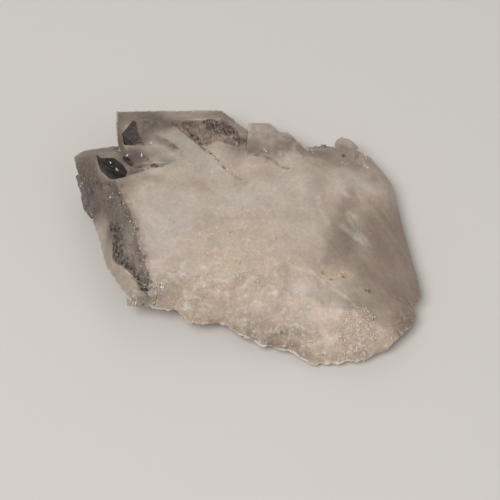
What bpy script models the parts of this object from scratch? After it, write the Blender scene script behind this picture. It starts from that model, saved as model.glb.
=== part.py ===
"""Sugar blade quartz: flat, blade-shaped quartz crystals grown together into one lying slab.

The slab is one solid. A thick milky body, rough with sugary growth on its front, is joined to a
clear blade on its left, a clear blade along its back, a low diagonal blade and smaller broken
crystals on its back right edge. Lengths are in millimetres until a mesh is made, in metres, with
+X along the slab, +Y to its back and +Z up. The origin is under the middle of its bounding box,
on the surface that it lies on.
"""

import bmesh
import bpy
import numpy as np
from mathutils import Vector

MM = 0.001

# The body
BODY_MIDDLE = (3.0, -2.0)      # where the rings of the body close, in plan
PLATEAU_HEIGHT = 11.7          # height of its flat upper face
PLATEAU_EDGE_X = 2.0           # to the right of this the upper face falls away
PLATEAU_FALL_X = 0.0045        # mm of fall per mm squared past that line
PLATEAU_EDGE_Y = -8.0          # in front of this it falls towards the front slope
PLATEAU_FALL_Y = 0.006
SHOULDER_START = 0.5           # share of the way out at which the upper face starts to round off
FOOT_SLOPE = 0.9               # inset of the flat lower face per mm of rim height
FOOT_MARGIN = 0.5              # its least inset
UNDERSIDE_BULGE = 0.12         # how far the underside swells between the lower face and the rim
COLUMN_STEP = 1.7              # spacing of the body's points along its rim
FLANK_STEPS = 6                # rows between the rim and the crest
UNDERSIDE_STEPS = 3            # rows between the lower face and the rim
TOP_STEPS = 9                  # rows between the crest and the middle of the top

# The worn, rounded right end: rings are averaged with their neighbours, more from the first x on
# and fully past the second
WORN_FROM_TO = (20.0, 28.0)
WORN_PASSES = 2

# Rough growth on the body
LUMP_SIZE = 3.4                # spacing of the broad lumps
LUMP_HEIGHT = 0.5
SUGAR_SIZE = 1.7               # spacing of the sugary grains that the solid can carry
SUGAR_HEIGHT = 0.35
CALM_MIDDLE = (0.55, 0.95)     # shares of the way out between which the growth comes in
FLANK_REACH = 0.6              # share of the growth that pushes the lower flank outwards
SMOOTH_RIGHT = (6.0, 16.0)     # x between which the growth fades to the right
ROUGH_FRONT = (10.0, 15.0)     # mm in front of the middle between which it thickens
ROUGH_LEAST = 0.12             # growth everywhere, then what the left and the front add to it
ROUGH_LEFT_ADDS = 0.45
ROUGH_FRONT_ADDS = 0.8

# How the grains of the growth are shaped: lean of their planes, roundness, gain and level
GRAIN_LEAN = 1.3
GRAIN_ROUNDNESS = 1.1
GRAIN_GAIN = 1.6
GRAIN_LEVEL = 0.25
# Large odd numbers that turn a cell's place into a number that looks random
CELL_FACTORS = (374761393, 668265263, 2147483647)
SEED_FACTOR = 974634777
MIX_FACTOR = 1274126177

# Rim point (x, y, z) and crest point (x, y, z) around the body, anticlockwise from the right tip.
# The crest is where the flank turns into the upper face.
STATIONS = (
    # right end, smooth and rounded
    ((33.7, -14.0, 4.0), (30.6, -12.8, 6.9)),
    ((33.5, -11.0, 4.1), (30.5, -10.2, 7.2)),
    ((31.9, -2.5, 4.2), (29.2, -2.4, 7.5)),
    ((30.9, 3.1, 4.3), (28.3, 2.6, 7.8)),
    ((30.2, 8.4, 4.6), (27.6, 7.2, 8.0)),
    ((29.6, 11.5, 5.0), (27.0, 9.6, 8.0)),
    ((28.2, 13.7, 5.3), (26.0, 11.4, 8.1)),
    ((25.5, 17.5, 5.8), (23.6, 14.4, 8.3)),
    # back, broken, then hidden in the small blades and the back blade
    ((23.4, 18.9, 6.0), (21.6, 15.6, 8.4)),
    ((20.8, 19.0, 6.8), (19.6, 16.6, 8.8)),
    ((16.6, 19.2, 7.0), (15.9, 17.0, 9.0)),
    ((12.6, 19.0, 7.0), (11.8, 15.8, 9.8)),
    ((7.6, 16.2, 7.6), (7.4, 13.6, 10.9)),
    ((2.4, 15.0, 8.0), (2.2, 13.4, 11.4)),
    ((-1.2, 17.2, 8.2), (-1.2, 15.6, 11.4)),
    ((-5.6, 17.6, 8.2), (-5.4, 16.2, 11.3)),
    ((-11.0, 14.8, 8.2), (-10.6, 13.2, 11.3)),
    ((-16.2, 12.8, 8.2), (-15.4, 11.2, 11.3)),
    ((-21.6, 10.4, 8.2), (-20.9, 9.1, 11.4)),
    # left, the crisp edge of the milky upper face above the left blade
    ((-25.2, 8.4, 8.4), (-24.3, 7.7, 11.5)),
    ((-23.6, 3.2, 8.4), (-22.6, 3.8, 11.5)),
    ((-22.0, -0.8, 8.4), (-20.9, -0.4, 11.5)),
    ((-20.8, -6.2, 8.2), (-19.6, -5.9, 11.4)),
    ((-19.6, -11.4, 7.4), (-18.3, -10.6, 11.0)),
    ((-18.8, -15.2, 6.2), (-16.8, -13.6, 9.8)),
    # front left, a thin broken rim
    ((-17.3, -16.9, 5.5), (-15.0, -14.2, 9.2)),
    ((-12.8, -17.5, 5.0), (-11.6, -14.4, 9.2)),
    ((-10.0, -19.8, 4.6), (-8.4, -15.2, 9.4)),
    ((-8.6, -19.6, 4.4), (-7.2, -15.0, 9.6)),
    ((-3.6, -19.8, 3.8), (-3.2, -14.2, 10.3)),
    ((-0.8, -21.7, 3.3), (-0.8, -13.0, 10.8)),
    # front right, the long sugary slope
    ((3.4, -23.5, 2.6), (3.4, -11.6, 11.2)),
    ((8.8, -24.4, 1.8), (8.2, -10.8, 11.2)),
    ((12.7, -26.8, 1.2), (12.0, -12.4, 10.8)),
    ((17.6, -26.7, 1.6), (15.6, -15.2, 10.2)),
    ((22.4, -26.3, 2.2), (20.0, -18.0, 9.1)),
    ((27.0, -24.8, 2.8), (24.2, -19.3, 8.0)),
    ((30.7, -21.3, 3.1), (27.6, -19.4, 7.2)),
    ((32.5, -17.9, 3.5), (29.6, -17.2, 6.8)),
    ((31.7, -16.4, 3.7), (29.8, -15.6, 6.8)),
)

# Blades: the height of the rim, the lowest height of the underside, then rim corner (x, y) and
# top face corner (x, y, z) pairs, clockwise. The lower half mirrors the upper one about the rim.
LEFT_BLADE = (
    6.5,
    2.4,
    (
        ((-33.7, 16.9), (-28.8, 14.1, 10.5)),
        ((-31.7, 18.6), (-28.2, 14.6, 10.5)),
        ((-24.8, 19.9), (-25.0, 14.4, 10.5)),
        ((-12.0, 19.0), (-14.0, 14.0, 10.5)),
        ((-10.0, -12.0), (-12.0, -11.0, 9.6)),
        ((-18.5, -16.0), (-17.4, -14.6, 9.0)),
        ((-21.9, -15.1), (-19.6, -13.6, 9.6)),
        ((-23.3, -12.8), (-21.8, -11.8, 10.2)),
        ((-25.6, -9.2), (-23.7, -8.2, 10.4)),
    ),
)
BACK_BLADE = (
    8.7,
    5.6,
    (
        ((-25.6, 26.8), (-21.8, 22.6, 11.0)),
        ((-4.3, 27.0), (-4.3, 23.1, 11.0)),
        ((1.1, 21.8), (0.4, 18.3, 11.0)),
        ((1.5, 12.0), (0.9, 13.0, 11.0)),
        ((-22.0, 10.0), (-21.0, 12.0, 11.0)),
        ((-24.7, 18.1), (-23.3, 16.5, 11.0)),
        ((-25.4, 22.8), (-23.9, 19.2, 11.0)),
    ),
)
DIAGONAL_BLADE = (
    10.6,
    9.0,
    (
        ((-18.9, 22.4), (-17.4, 21.5, 11.3)),
        ((-13.4, 21.8), (-13.4, 20.6, 11.5)),
        ((-8.0, 16.6), (-8.6, 15.8, 11.6)),
        ((-1.2, 7.6), (-2.4, 8.4, 11.6)),
        ((-4.0, 5.6), (-3.8, 7.2, 11.5)),
        ((-11.0, 11.3), (-10.4, 12.6, 11.4)),
        ((-19.0, 19.0), (-17.6, 20.0, 11.2)),
    ),
)
BACK_STEP_BLADE = (
    8.3,
    4.4,
    (
        ((0.9, 24.1), (1.6, 23.0, 9.5)),
        ((5.2, 24.1), (4.9, 23.0, 9.5)),
        ((8.2, 20.9), (7.4, 20.2, 9.6)),
        ((12.0, 12.6), (10.6, 12.4, 10.4)),
        ((-1.2, 12.0), (-0.5, 12.6, 11.4)),
    ),
)
SECOND_STEP_BLADE = (
    8.2,
    4.4,
    (
        ((7.0, 21.9), (7.6, 21.0, 9.2)),
        ((8.7, 21.9), (8.7, 20.9, 9.2)),
        ((12.3, 18.4), (11.4, 17.7, 9.3)),
        ((16.0, 12.6), (14.2, 12.8, 10.2)),
        ((6.0, 12.0), (8.0, 12.6, 11.0)),
    ),
)
KNOB_CRYSTAL = (
    6.9,
    4.6,
    (
        ((17.9, 20.5), (18.6, 19.6, 8.3)),
        ((19.2, 21.6), (19.5, 20.2, 8.4)),
        ((21.4, 21.0), (20.9, 19.8, 8.2)),
        ((22.9, 19.0), (21.6, 18.0, 8.4)),
        ((23.0, 14.0), (21.6, 14.4, 8.8)),
        ((17.4, 14.0), (18.6, 14.4, 9.0)),
        ((16.8, 18.0), (18.0, 17.2, 8.8)),
    ),
)
LEDGE_BLADE = (
    4.9,
    3.2,
    (
        ((-33.1, 13.6), (-31.6, 12.6, 7.2)),
        ((-29.0, 14.0), (-29.4, 13.0, 7.2)),
        ((-27.0, 5.0), (-27.4, 5.6, 7.0)),
        ((-29.4, 3.2), (-28.6, 4.4, 7.0)),
        ((-31.0, 5.4), (-29.8, 5.8, 7.2)),
    ),
)
CRUSHED_CORNER = (
    5.8,
    3.6,
    (
        ((-22.0, -14.2), (-20.6, -14.0, 8.2)),
        ((-15.0, -13.0), (-15.0, -13.4, 9.0)),
        ((-16.4, -17.0), (-16.0, -15.8, 8.0)),
        ((-21.8, -16.7), (-20.4, -15.9, 7.6)),
    ),
)

# Broken crystals along the back right edge
SPLINTER_COUNT = 7
SPLINTER_LINE = ((12.6, 17.7), (17.0, 18.3))
SPLINTER_LENGTH = (0.9, 2.0)
SPLINTER_WIDTH = (0.5, 1.25)
SPLINTER_HEIGHT = (6.6, 7.8)
SPLINTER_LEAN = 1.35           # radians to either side
SPLINTER_RISE = 0.15           # rise per mm of its length
SPLINTER_SETBACK = 0.45        # share of its length that stands behind the line
SPLINTER_RINGS = ((-1.6, 1.0), (0.55, 1.0), (1.0, 0.3))     # reach and girth of each ring

RANDOM_SEED = 11

CRYSTAL_COLOUR = (0.49, 0.40, 0.33, 1.0)
CRYSTAL_ROUGHNESS = 0.32
CRYSTAL_IOR = 1.544
CRYSTAL_CLEARNESS = 0.3


def smooth_step(value, low, high):
    """0 below low, 1 above high, and a smooth rise between them."""
    share = np.clip((value - low) / (high - low), 0.0, 1.0)
    return share * share * (3.0 - 2.0 * share)


def lattice_values(cells, seed):
    """One number from 0 to 1 for each whole-numbered cell, the same each time."""
    mixed = (cells * np.array(CELL_FACTORS)).sum(axis=-1) + seed * SEED_FACTOR
    mixed = (mixed ^ (mixed >> 13)) * MIX_FACTOR
    mixed = mixed ^ (mixed >> 16)
    return (mixed & 0xFFFFFF) / float(0xFFFFFF)


def facets(points, size, seed):
    """Broken, flat-sided relief from -1 to 1: grains are tilted planes, and the highest one shows."""
    scaled = points / size
    base = np.floor(scaled).astype(np.int64)
    highest = np.full(points.shape[:-1], -9.0)
    for shift in np.ndindex(3, 3, 3):
        cell = base + np.array(shift) - 1
        draws = [lattice_values(cell, seed + number) for number in range(6)]
        middle = cell + np.stack(draws[:3], axis=-1)
        tilt = np.stack(draws[3:], axis=-1) * 2.0 - 1.0
        offset = scaled - middle
        height = (offset * tilt).sum(-1) * GRAIN_LEAN - (offset ** 2).sum(-1) * GRAIN_ROUNDNESS
        highest = np.maximum(highest, height)
    return np.clip(highest * GRAIN_GAIN + GRAIN_LEVEL, -1.0, 1.0)


def around(rows):
    """Points every COLUMN_STEP or so along the closed line through the rows' first three numbers."""
    parts = []
    for here, there in zip(rows, np.roll(rows, -1, axis=0)):
        count = max(1, round(float(np.linalg.norm(there[:3] - here[:3])) / COLUMN_STEP))
        share = np.arange(count)[:, None] / count
        parts.append(here + (there - here) * share)
    return np.concatenate(parts)


def plateau(points):
    """Height of the upper face over each point: level, falling away to the right and the front."""
    right = np.maximum(0.0, points[..., 0] - PLATEAU_EDGE_X)
    front = np.maximum(0.0, PLATEAU_EDGE_Y - points[..., 1])
    return PLATEAU_HEIGHT - PLATEAU_FALL_X * right ** 2 - PLATEAU_FALL_Y * front ** 2


def roughness_of(points):
    """0 where the body is smooth, at its right, up to 1 on the sugary front slope."""
    left = 1.0 - smooth_step(points[..., 0], *SMOOTH_RIGHT)
    front = smooth_step(-points[..., 1], *ROUGH_FRONT)
    return np.clip(ROUGH_LEAST + ROUGH_LEFT_ADDS * left + ROUGH_FRONT_ADDS * front, 0.0, 1.0)


def body_rings():
    """The body as rings of points, from the edge of its flat lower face to near the middle of its top."""
    rows = around(np.array([rim + crest for rim, crest in STATIONS]))
    rim = rows[:, :3]
    crest = rows[:, 3:]
    middle = np.array(BODY_MIDDLE)
    inward = middle - rim[:, :2]
    inward /= np.linalg.norm(inward, axis=1, keepdims=True)
    foot = np.zeros_like(rim)
    foot[:, :2] = rim[:, :2] + inward * (FOOT_MARGIN + FOOT_SLOPE * rim[:, 2:])
    rings = [foot]
    for step in range(1, UNDERSIDE_STEPS + 1):
        share = step / UNDERSIDE_STEPS
        ring = foot + (rim - foot) * share
        swell = UNDERSIDE_BULGE * 4.0 * share * (1.0 - share) * rim[:, 2:]
        ring[:, :2] -= inward * swell
        rings.append(ring)
    for step in range(1, FLANK_STEPS + 1):
        rings.append(rim + (crest - rim) * step / FLANK_STEPS)
    drop = plateau(crest) - crest[:, 2]
    shares = [1.0] * len(rings)
    for step in range(1, TOP_STEPS):
        share = 1.0 - step / TOP_STEPS
        shares.append(share)
        ring = np.empty_like(crest)
        ring[:, :2] = middle + (crest[:, :2] - middle) * share
        shoulder = max(0.0, (share - SHOULDER_START) / (1.0 - SHOULDER_START)) ** 2
        ring[:, 2] = plateau(ring) - drop * shoulder
        rings.append(ring)
    return roughened(worn_round(rings), shares)


def worn_round(rings):
    """Rounds the right end off: each ring past the rim is drawn to the mean of the two beside it."""
    grid = np.array(rings)
    share = 0.5 * smooth_step(grid[..., 0], *WORN_FROM_TO)
    share[:2] = 0.0
    share[-1] = 0.0
    for _ in range(WORN_PASSES):
        mean = (np.roll(grid, 1, axis=0) + np.roll(grid, -1, axis=0)) / 2.0
        grid += share[..., None] * (mean - grid)
    return list(grid)


def roughened(rings, shares):
    """Moves every ring but the flat lower face's by the lumps and the sugary grains, mostly upwards."""
    for index in range(1, len(rings)):
        ring = rings[index]
        rough = roughness_of(ring) * smooth_step(shares[index], *CALM_MIDDLE)
        lift = LUMP_HEIGHT * facets(ring, LUMP_SIZE, RANDOM_SEED)
        lift += SUGAR_HEIGHT * facets(ring, SUGAR_SIZE, RANDOM_SEED + 9)
        lift *= rough
        outward = ring[:, :2] - np.array(BODY_MIDDLE)
        outward /= np.linalg.norm(outward, axis=1, keepdims=True)
        flank = 1.0 if index <= UNDERSIDE_STEPS + FLANK_STEPS // 2 else 0.0
        ring[:, :2] += outward * (lift * flank * FLANK_REACH)[:, None]
        ring[:, 2] += lift * (1.0 - flank)
    return rings


def solid(name, rings, cap_low, cap_high):
    """A closed mesh from equal rings, bottom to top, with a face or a middle point at either end."""
    mesh = bpy.data.meshes.new(name)
    shape = bmesh.new()
    levels = [[shape.verts.new(Vector(point) * MM) for point in ring] for ring in rings]
    count = len(levels[0])
    for low, high in zip(levels, levels[1:]):
        for index in range(count):
            following = (index + 1) % count
            shape.faces.new((low[index], low[following], high[following], high[index]))
    for level, cap in ((levels[0], cap_low), (levels[-1], cap_high)):
        if cap is None:
            shape.faces.new(level)
            continue
        middle = shape.verts.new(Vector(cap) * MM)
        for index in range(count):
            shape.faces.new((level[index], level[(index + 1) % count], middle))
    bmesh.ops.recalc_face_normals(shape, faces=shape.faces)
    bmesh.ops.triangulate(shape, faces=shape.faces)
    shape.to_mesh(mesh)
    shape.free()
    made = bpy.data.objects.new(name, mesh)
    bpy.context.scene.collection.objects.link(made)
    return made


def blade(name, rim_height, lowest, corners):
    """A flat crystal: an upper face and a lower face, each joined to the rim by sloping side faces."""
    rim = [(x, y, rim_height) for (x, y), _ in corners]
    top = [upper for _, upper in corners]
    low = [(x, y, max(lowest, 2.0 * rim_height - z)) for x, y, z in top]
    shape = bmesh.new()
    for point in rim + top + low:
        shape.verts.new(Vector(point) * MM)
    hull = bmesh.ops.convex_hull(shape, input=shape.verts)
    inside = set(hull["geom_interior"]) | set(hull["geom_unused"])
    spare = [point for point in shape.verts if point in inside]
    bmesh.ops.delete(shape, geom=spare, context="VERTS")
    bmesh.ops.recalc_face_normals(shape, faces=shape.faces)
    mesh = bpy.data.meshes.new(name)
    shape.to_mesh(mesh)
    shape.free()
    made = bpy.data.objects.new(name, mesh)
    bpy.context.scene.collection.objects.link(made)
    return made


def splinter(name, draw, share):
    """A small six-sided broken crystal that leans out over the back edge."""
    start = np.array(SPLINTER_LINE[0])
    end = np.array(SPLINTER_LINE[1])
    root = start + (end - start) * share
    length = draw.uniform(*SPLINTER_LENGTH)
    width = draw.uniform(*SPLINTER_WIDTH)
    height = draw.uniform(*SPLINTER_HEIGHT)
    lean = draw.uniform(-SPLINTER_LEAN, SPLINTER_LEAN)
    along = np.array((np.sin(lean), np.cos(lean), SPLINTER_RISE))
    across = np.array((along[1], -along[0], 0.0))
    turn = np.arange(6) * np.pi / 3.0
    rings = []
    for reach, girth in SPLINTER_RINGS:
        middle = np.array((root[0], root[1], height)) + along * length * (reach - SPLINTER_SETBACK)
        ring = middle + np.cos(turn)[:, None] * across * width * girth
        ring[:, 2] += np.sin(turn) * width * girth
        rings.append(ring)
    return solid(name, rings, None, None)


def crystal_material():
    """Milky quartz, part see-through, with a waxy to glassy skin."""
    material = bpy.data.materials.new("milky_quartz")
    material.use_nodes = True
    shader = material.node_tree.nodes["Principled BSDF"]
    shader.inputs["Base Color"].default_value = CRYSTAL_COLOUR
    shader.inputs["Roughness"].default_value = CRYSTAL_ROUGHNESS
    shader.inputs["Metallic"].default_value = 0.0
    shader.inputs["IOR"].default_value = CRYSTAL_IOR
    shader.inputs["Transmission Weight"].default_value = CRYSTAL_CLEARNESS
    material.diffuse_color = CRYSTAL_COLOUR
    return material


def join(body, others):
    """Unites the crystals with the body, which keeps the one mesh, and removes the rest."""
    for other in others:
        union = body.modifiers.new(other.name, "BOOLEAN")
        union.operation = "UNION"
        union.solver = "EXACT"
        union.object = other
    depsgraph = bpy.context.evaluated_depsgraph_get()
    joined = bpy.data.meshes.new_from_object(body.evaluated_get(depsgraph))
    body.modifiers.clear()
    body.data = joined
    for other in others:
        bpy.data.objects.remove(other, do_unlink=True)
    return body


def main():
    """Builds the slab as one object named quartz_cluster."""
    for item in list(bpy.data.objects):
        bpy.data.objects.remove(item, do_unlink=True)
    rings = body_rings()
    summit = (BODY_MIDDLE[0], BODY_MIDDLE[1], float(plateau(np.array([BODY_MIDDLE]))[0]))
    body = solid("quartz_cluster", rings, None, summit)
    blades = [
        blade("left_blade", *LEFT_BLADE),
        blade("back_blade", *BACK_BLADE),
        blade("diagonal_blade", *DIAGONAL_BLADE),
        blade("back_step_blade", *BACK_STEP_BLADE),
        blade("second_step_blade", *SECOND_STEP_BLADE),
        blade("knob_crystal", *KNOB_CRYSTAL),
        blade("ledge_blade", *LEDGE_BLADE),
        blade("crushed_corner", *CRUSHED_CORNER),
    ]
    draw = np.random.default_rng(RANDOM_SEED)
    for number in range(SPLINTER_COUNT):
        blades.append(splinter(f"splinter_{number}", draw, (number + 0.5) / SPLINTER_COUNT))
    join(body, blades)
    body.data.materials.clear()
    body.data.materials.append(crystal_material())


main()
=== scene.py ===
"""Sugar blade quartz: the finished surface of a lying slab of grown-together quartz blades.

The slab is worked out again as fine surfaces on the sizes of the plain solid that it replaces:
a milky body, clear blades at its left and back, a low diagonal blade, small step-like blades, a
knob and broken splinters, all united. Sugary grains grow on its front slope. Lengths are in
millimetres until a mesh is made, in metres, with +X along the slab, +Y to its back and +Z up.
"""

import math
from functools import partial

import bpy
import numpy as np
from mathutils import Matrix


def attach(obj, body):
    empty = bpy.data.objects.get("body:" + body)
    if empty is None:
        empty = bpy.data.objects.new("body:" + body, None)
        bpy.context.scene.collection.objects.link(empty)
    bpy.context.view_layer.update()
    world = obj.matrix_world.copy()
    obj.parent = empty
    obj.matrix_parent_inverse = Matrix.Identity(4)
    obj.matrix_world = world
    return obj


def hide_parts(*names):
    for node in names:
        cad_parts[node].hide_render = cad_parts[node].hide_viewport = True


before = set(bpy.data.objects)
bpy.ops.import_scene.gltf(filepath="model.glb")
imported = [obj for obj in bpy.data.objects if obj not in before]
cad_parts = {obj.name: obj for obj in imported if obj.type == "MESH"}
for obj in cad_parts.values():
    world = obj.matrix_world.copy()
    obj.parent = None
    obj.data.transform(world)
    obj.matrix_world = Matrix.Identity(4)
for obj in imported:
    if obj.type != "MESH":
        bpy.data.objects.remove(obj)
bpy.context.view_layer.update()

bl_info = {
    "name": "Sugar Blade Quartz",
    "version": (1, 0, 0),
    "blender": (4, 5, 0),
    "location": "View3D > Sidebar > Quartz",
    "description": "Grows a slab of clear and milky quartz blades with sugary growth, on a pale stage",
    "category": "Add Mesh",
}

MM = 0.001
NODE = "quartz_cluster"
RANDOM_SEED = 11

# The body: height and fall of its upper face, and how its flat lower face sits inside its rim
BODY_MIDDLE = (3.0, -2.0)
PLATEAU_HEIGHT = 11.7
PLATEAU_EDGE_X = 2.0
PLATEAU_FALL_X = 0.0045
PLATEAU_EDGE_Y = -8.0
PLATEAU_FALL_Y = 0.006
SHOULDER_START = 0.5
FOOT_SLOPE = 0.9
FOOT_MARGIN = 0.5
UNDERSIDE_BULGE = 0.12

# Where along x the body's right end starts to be worn round, and from where on it is in full
WORN_END = (20.0, 28.0)

# Chips of the front rim: where along -y they start and are in full, and how many rows they reach
CHIPPED_FRONT = (12.0, 15.0)
CHIPPED_ROWS = 6.0

# The sugary patch: its middle (x, y), and how far from there its sugar ends and is in full
SUGAR_PATCH = (20.6, -21.8)
SUGAR_REACH = (5.0, 2.0)

# Widths of the relief: broad lumps, coarse sugar, fine sugar and the blades' chips, wide swells, and
# chips of the front rim
LUMP_WIDTH = 3.4
SUGAR_WIDTH = 1.7
GRAIN_WIDTH = 0.9
SWELL_WIDTH = 7.0
RIM_CHIP_WIDTH = 1.3

# How far a blade's corners and edges are cut back, as a share of the spacing of its points
CORNER_CUT = 0.35

# Edges of the slab's mesh that turn more than this stay sharp, in degrees
SHARP_ANGLE = 38.0

# Rim point (x, y, z) and crest point (x, y, z) around the body, anticlockwise from the right tip
STATIONS = (
    # right end, smooth and rounded
    (33.7, -14.0, 4.0, 30.6, -12.8, 6.9), (33.5, -11.0, 4.1, 30.5, -10.2, 7.2),
    (31.9, -2.5, 4.2, 29.2, -2.4, 7.5), (30.9, 3.1, 4.3, 28.3, 2.6, 7.8), (30.2, 8.4, 4.6, 27.6, 7.2, 8.0),
    (29.6, 11.5, 5.0, 27.0, 9.6, 8.0), (28.2, 13.7, 5.3, 26.0, 11.4, 8.1),
    (25.5, 17.5, 5.8, 23.6, 14.4, 8.3),
    # back, broken, then hidden in the small blades and the back blade
    (23.4, 18.9, 6.0, 21.6, 15.6, 8.4), (20.8, 19.0, 6.8, 19.6, 16.6, 8.8),
    (16.6, 19.2, 7.0, 15.9, 17.0, 9.0), (12.6, 19.0, 7.0, 11.8, 15.8, 9.8),
    (7.6, 16.2, 7.6, 7.4, 13.6, 10.9), (2.4, 15.0, 8.0, 2.2, 13.4, 11.4),
    (-1.2, 17.2, 8.2, -1.2, 15.6, 11.4), (-5.6, 17.6, 8.2, -5.4, 16.2, 11.3),
    (-11.0, 14.8, 8.2, -10.6, 13.2, 11.3), (-16.2, 12.8, 8.2, -15.4, 11.2, 11.3),
    (-21.6, 10.4, 8.2, -20.9, 9.1, 11.4),
    # left, the crisp edge of the milky upper face above the left blade
    (-25.2, 8.4, 8.4, -24.3, 7.7, 11.5), (-23.6, 3.2, 8.4, -22.6, 3.8, 11.5),
    (-22.0, -0.8, 8.4, -20.9, -0.4, 11.5), (-20.8, -6.2, 8.2, -19.6, -5.9, 11.4),
    (-19.6, -11.4, 7.4, -18.3, -10.6, 11.0), (-18.8, -15.2, 6.2, -16.8, -13.6, 9.8),
    # front left, a thin broken rim
    (-17.3, -16.9, 5.5, -15.0, -14.2, 9.2), (-12.8, -17.5, 5.0, -11.6, -14.4, 9.2),
    (-10.0, -19.8, 4.6, -8.4, -15.2, 9.4), (-8.6, -19.6, 4.4, -7.2, -15.0, 9.6),
    (-3.6, -19.8, 3.8, -3.2, -14.2, 10.3), (-0.8, -21.7, 3.3, -0.8, -13.0, 10.8),
    # front right, the long sugary slope
    (3.4, -23.5, 2.6, 3.4, -11.6, 11.2), (8.8, -24.4, 1.8, 8.2, -10.8, 11.2),
    (12.7, -26.8, 1.2, 12.0, -12.4, 10.8), (17.6, -26.7, 1.6, 15.6, -15.2, 10.2),
    (22.4, -26.3, 2.2, 20.0, -18.0, 9.1), (27.0, -24.8, 2.8, 24.2, -19.3, 8.0),
    (30.7, -21.3, 3.1, 27.6, -19.4, 7.2), (32.5, -17.9, 3.5, 29.6, -17.2, 6.8),
    (31.7, -16.4, 3.7, 29.8, -15.6, 6.8),
)

# Blades: rim height, lowest height of the underside, and rim corner (x, y) with top face corner
# (x, y, z) in each row, clockwise. The lower half mirrors the upper one about the rim.
BLADES = {
    "left_blade": (6.5, 2.4, (
        (-33.7, 16.9, -28.8, 14.1, 10.5), (-31.7, 18.6, -28.2, 14.6, 10.5),
        (-24.8, 19.9, -25.0, 14.4, 10.5), (-12.0, 19.0, -14.0, 14.0, 10.5),
        (-10.0, -12.0, -12.0, -11.0, 9.6), (-18.5, -16.0, -17.4, -14.6, 9.0),
        (-21.9, -15.1, -19.6, -13.6, 9.6), (-23.3, -12.8, -21.8, -11.8, 10.2),
        (-25.6, -9.2, -23.7, -8.2, 10.4),
    )),
    "back_blade": (8.7, 5.6, (
        (-25.6, 26.8, -21.8, 22.6, 11.0), (-4.3, 27.0, -4.3, 23.1, 11.0), (1.1, 21.8, 0.4, 18.3, 11.0),
        (1.5, 12.0, 0.9, 13.0, 11.0), (-22.0, 10.0, -21.0, 12.0, 11.0), (-24.7, 18.1, -23.3, 16.5, 11.0),
        (-25.4, 22.8, -23.9, 19.2, 11.0),
    )),
    "diagonal_blade": (10.6, 9.0, (
        (-18.9, 22.4, -17.4, 21.5, 11.3), (-13.4, 21.8, -13.4, 20.6, 11.5), (-8.0, 16.6, -8.6, 15.8, 11.6),
        (-1.2, 7.6, -2.4, 8.4, 11.6), (-4.0, 5.6, -3.8, 7.2, 11.5), (-11.0, 11.3, -10.4, 12.6, 11.4),
        (-19.0, 19.0, -17.6, 20.0, 11.2),
    )),
    "back_step_blade": (8.3, 4.4, (
        (0.9, 24.1, 1.6, 23.0, 9.5), (5.2, 24.1, 4.9, 23.0, 9.5), (8.2, 20.9, 7.4, 20.2, 9.6),
        (12.0, 12.6, 10.6, 12.4, 10.4), (-1.2, 12.0, -0.5, 12.6, 11.4),
    )),
    "second_step_blade": (8.2, 4.4, (
        (7.0, 21.9, 7.6, 21.0, 9.2), (8.7, 21.9, 8.7, 20.9, 9.2), (12.3, 18.4, 11.4, 17.7, 9.3),
        (16.0, 12.6, 14.2, 12.8, 10.2), (6.0, 12.0, 8.0, 12.6, 11.0),
    )),
    "knob_crystal": (6.9, 4.6, (
        (17.9, 20.5, 18.6, 19.6, 8.3), (19.2, 21.6, 19.5, 20.2, 8.4), (21.4, 21.0, 20.9, 19.8, 8.2),
        (22.9, 19.0, 21.6, 18.0, 8.4), (23.0, 14.0, 21.6, 14.4, 8.8), (17.4, 14.0, 18.6, 14.4, 9.0),
        (16.8, 18.0, 18.0, 17.2, 8.8),
    )),
    "ledge_blade": (4.9, 3.2, (
        (-33.1, 13.6, -31.6, 12.6, 7.2), (-29.0, 14.0, -29.4, 13.0, 7.2), (-27.0, 5.0, -27.4, 5.6, 7.0),
        (-29.4, 3.2, -28.6, 4.4, 7.0), (-31.0, 5.4, -29.8, 5.8, 7.2),
    )),
    "crushed_corner": (5.8, 3.6, (
        (-22.0, -14.2, -20.6, -14.0, 8.2), (-15.0, -13.0, -15.0, -13.4, 9.0),
        (-16.4, -17.0, -16.0, -15.8, 8.0), (-21.8, -16.7, -20.4, -15.9, 7.6),
    )),
}

# The number that each crystal's faces keep through the union
NUMBERS = {name: number for number, name in enumerate(("body", *BLADES, "splinter"))}

# Blades that are chipped more or less than the others
CHIPPED = {
    "knob_crystal": 2.6,
    "crushed_corner": 2.2,
    "back_blade": 0.4,
    "back_step_blade": 0.3,
    "second_step_blade": 0.5,
}

# Blades whose rims carry thin white lines: chipped rims, and on the step blades also a painted highlight of
# light from behind
WORN_AND_LIT_BLADES = ("left_blade", "back_blade", "back_step_blade", "second_step_blade", "knob_crystal")

# Broken crystals along the back right edge
SPLINTER_COUNT = 7
SPLINTER_LINE = ((12.6, 17.7), (17.0, 18.3))
SPLINTER_LENGTH = (0.9, 2.0)
SPLINTER_WIDTH = (0.5, 1.25)
SPLINTER_HEIGHT = (6.6, 7.8)
SPLINTER_LEAN = 1.35

# Lowest and highest place of a grain's tip
GRAIN_HEIGHTS = (0.05, 12.2)

# Quartz bends light by this much, and its smoky parts take up light at this rate per metre
QUARTZ_IOR = 1.544
QUARTZ_DENSITY = 330.0

# The camera of the photograph: what it looks at, how far it is, its height angle and its lens
CAMERA_TARGET = (1.25, -5.2, 7.0)
CAMERA_DISTANCE = 288.3
CAMERA_ELEVATION = 57.0
CAMERA_LENS = 110.0

# The floor's side in metres, and the colour and strength of the light from all around
FLOOR_SIZE = 6.0
STUDIO_COLOUR = (1.0, 0.975, 0.945, 1.0)
STUDIO_STRENGTH = 0.28

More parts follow.
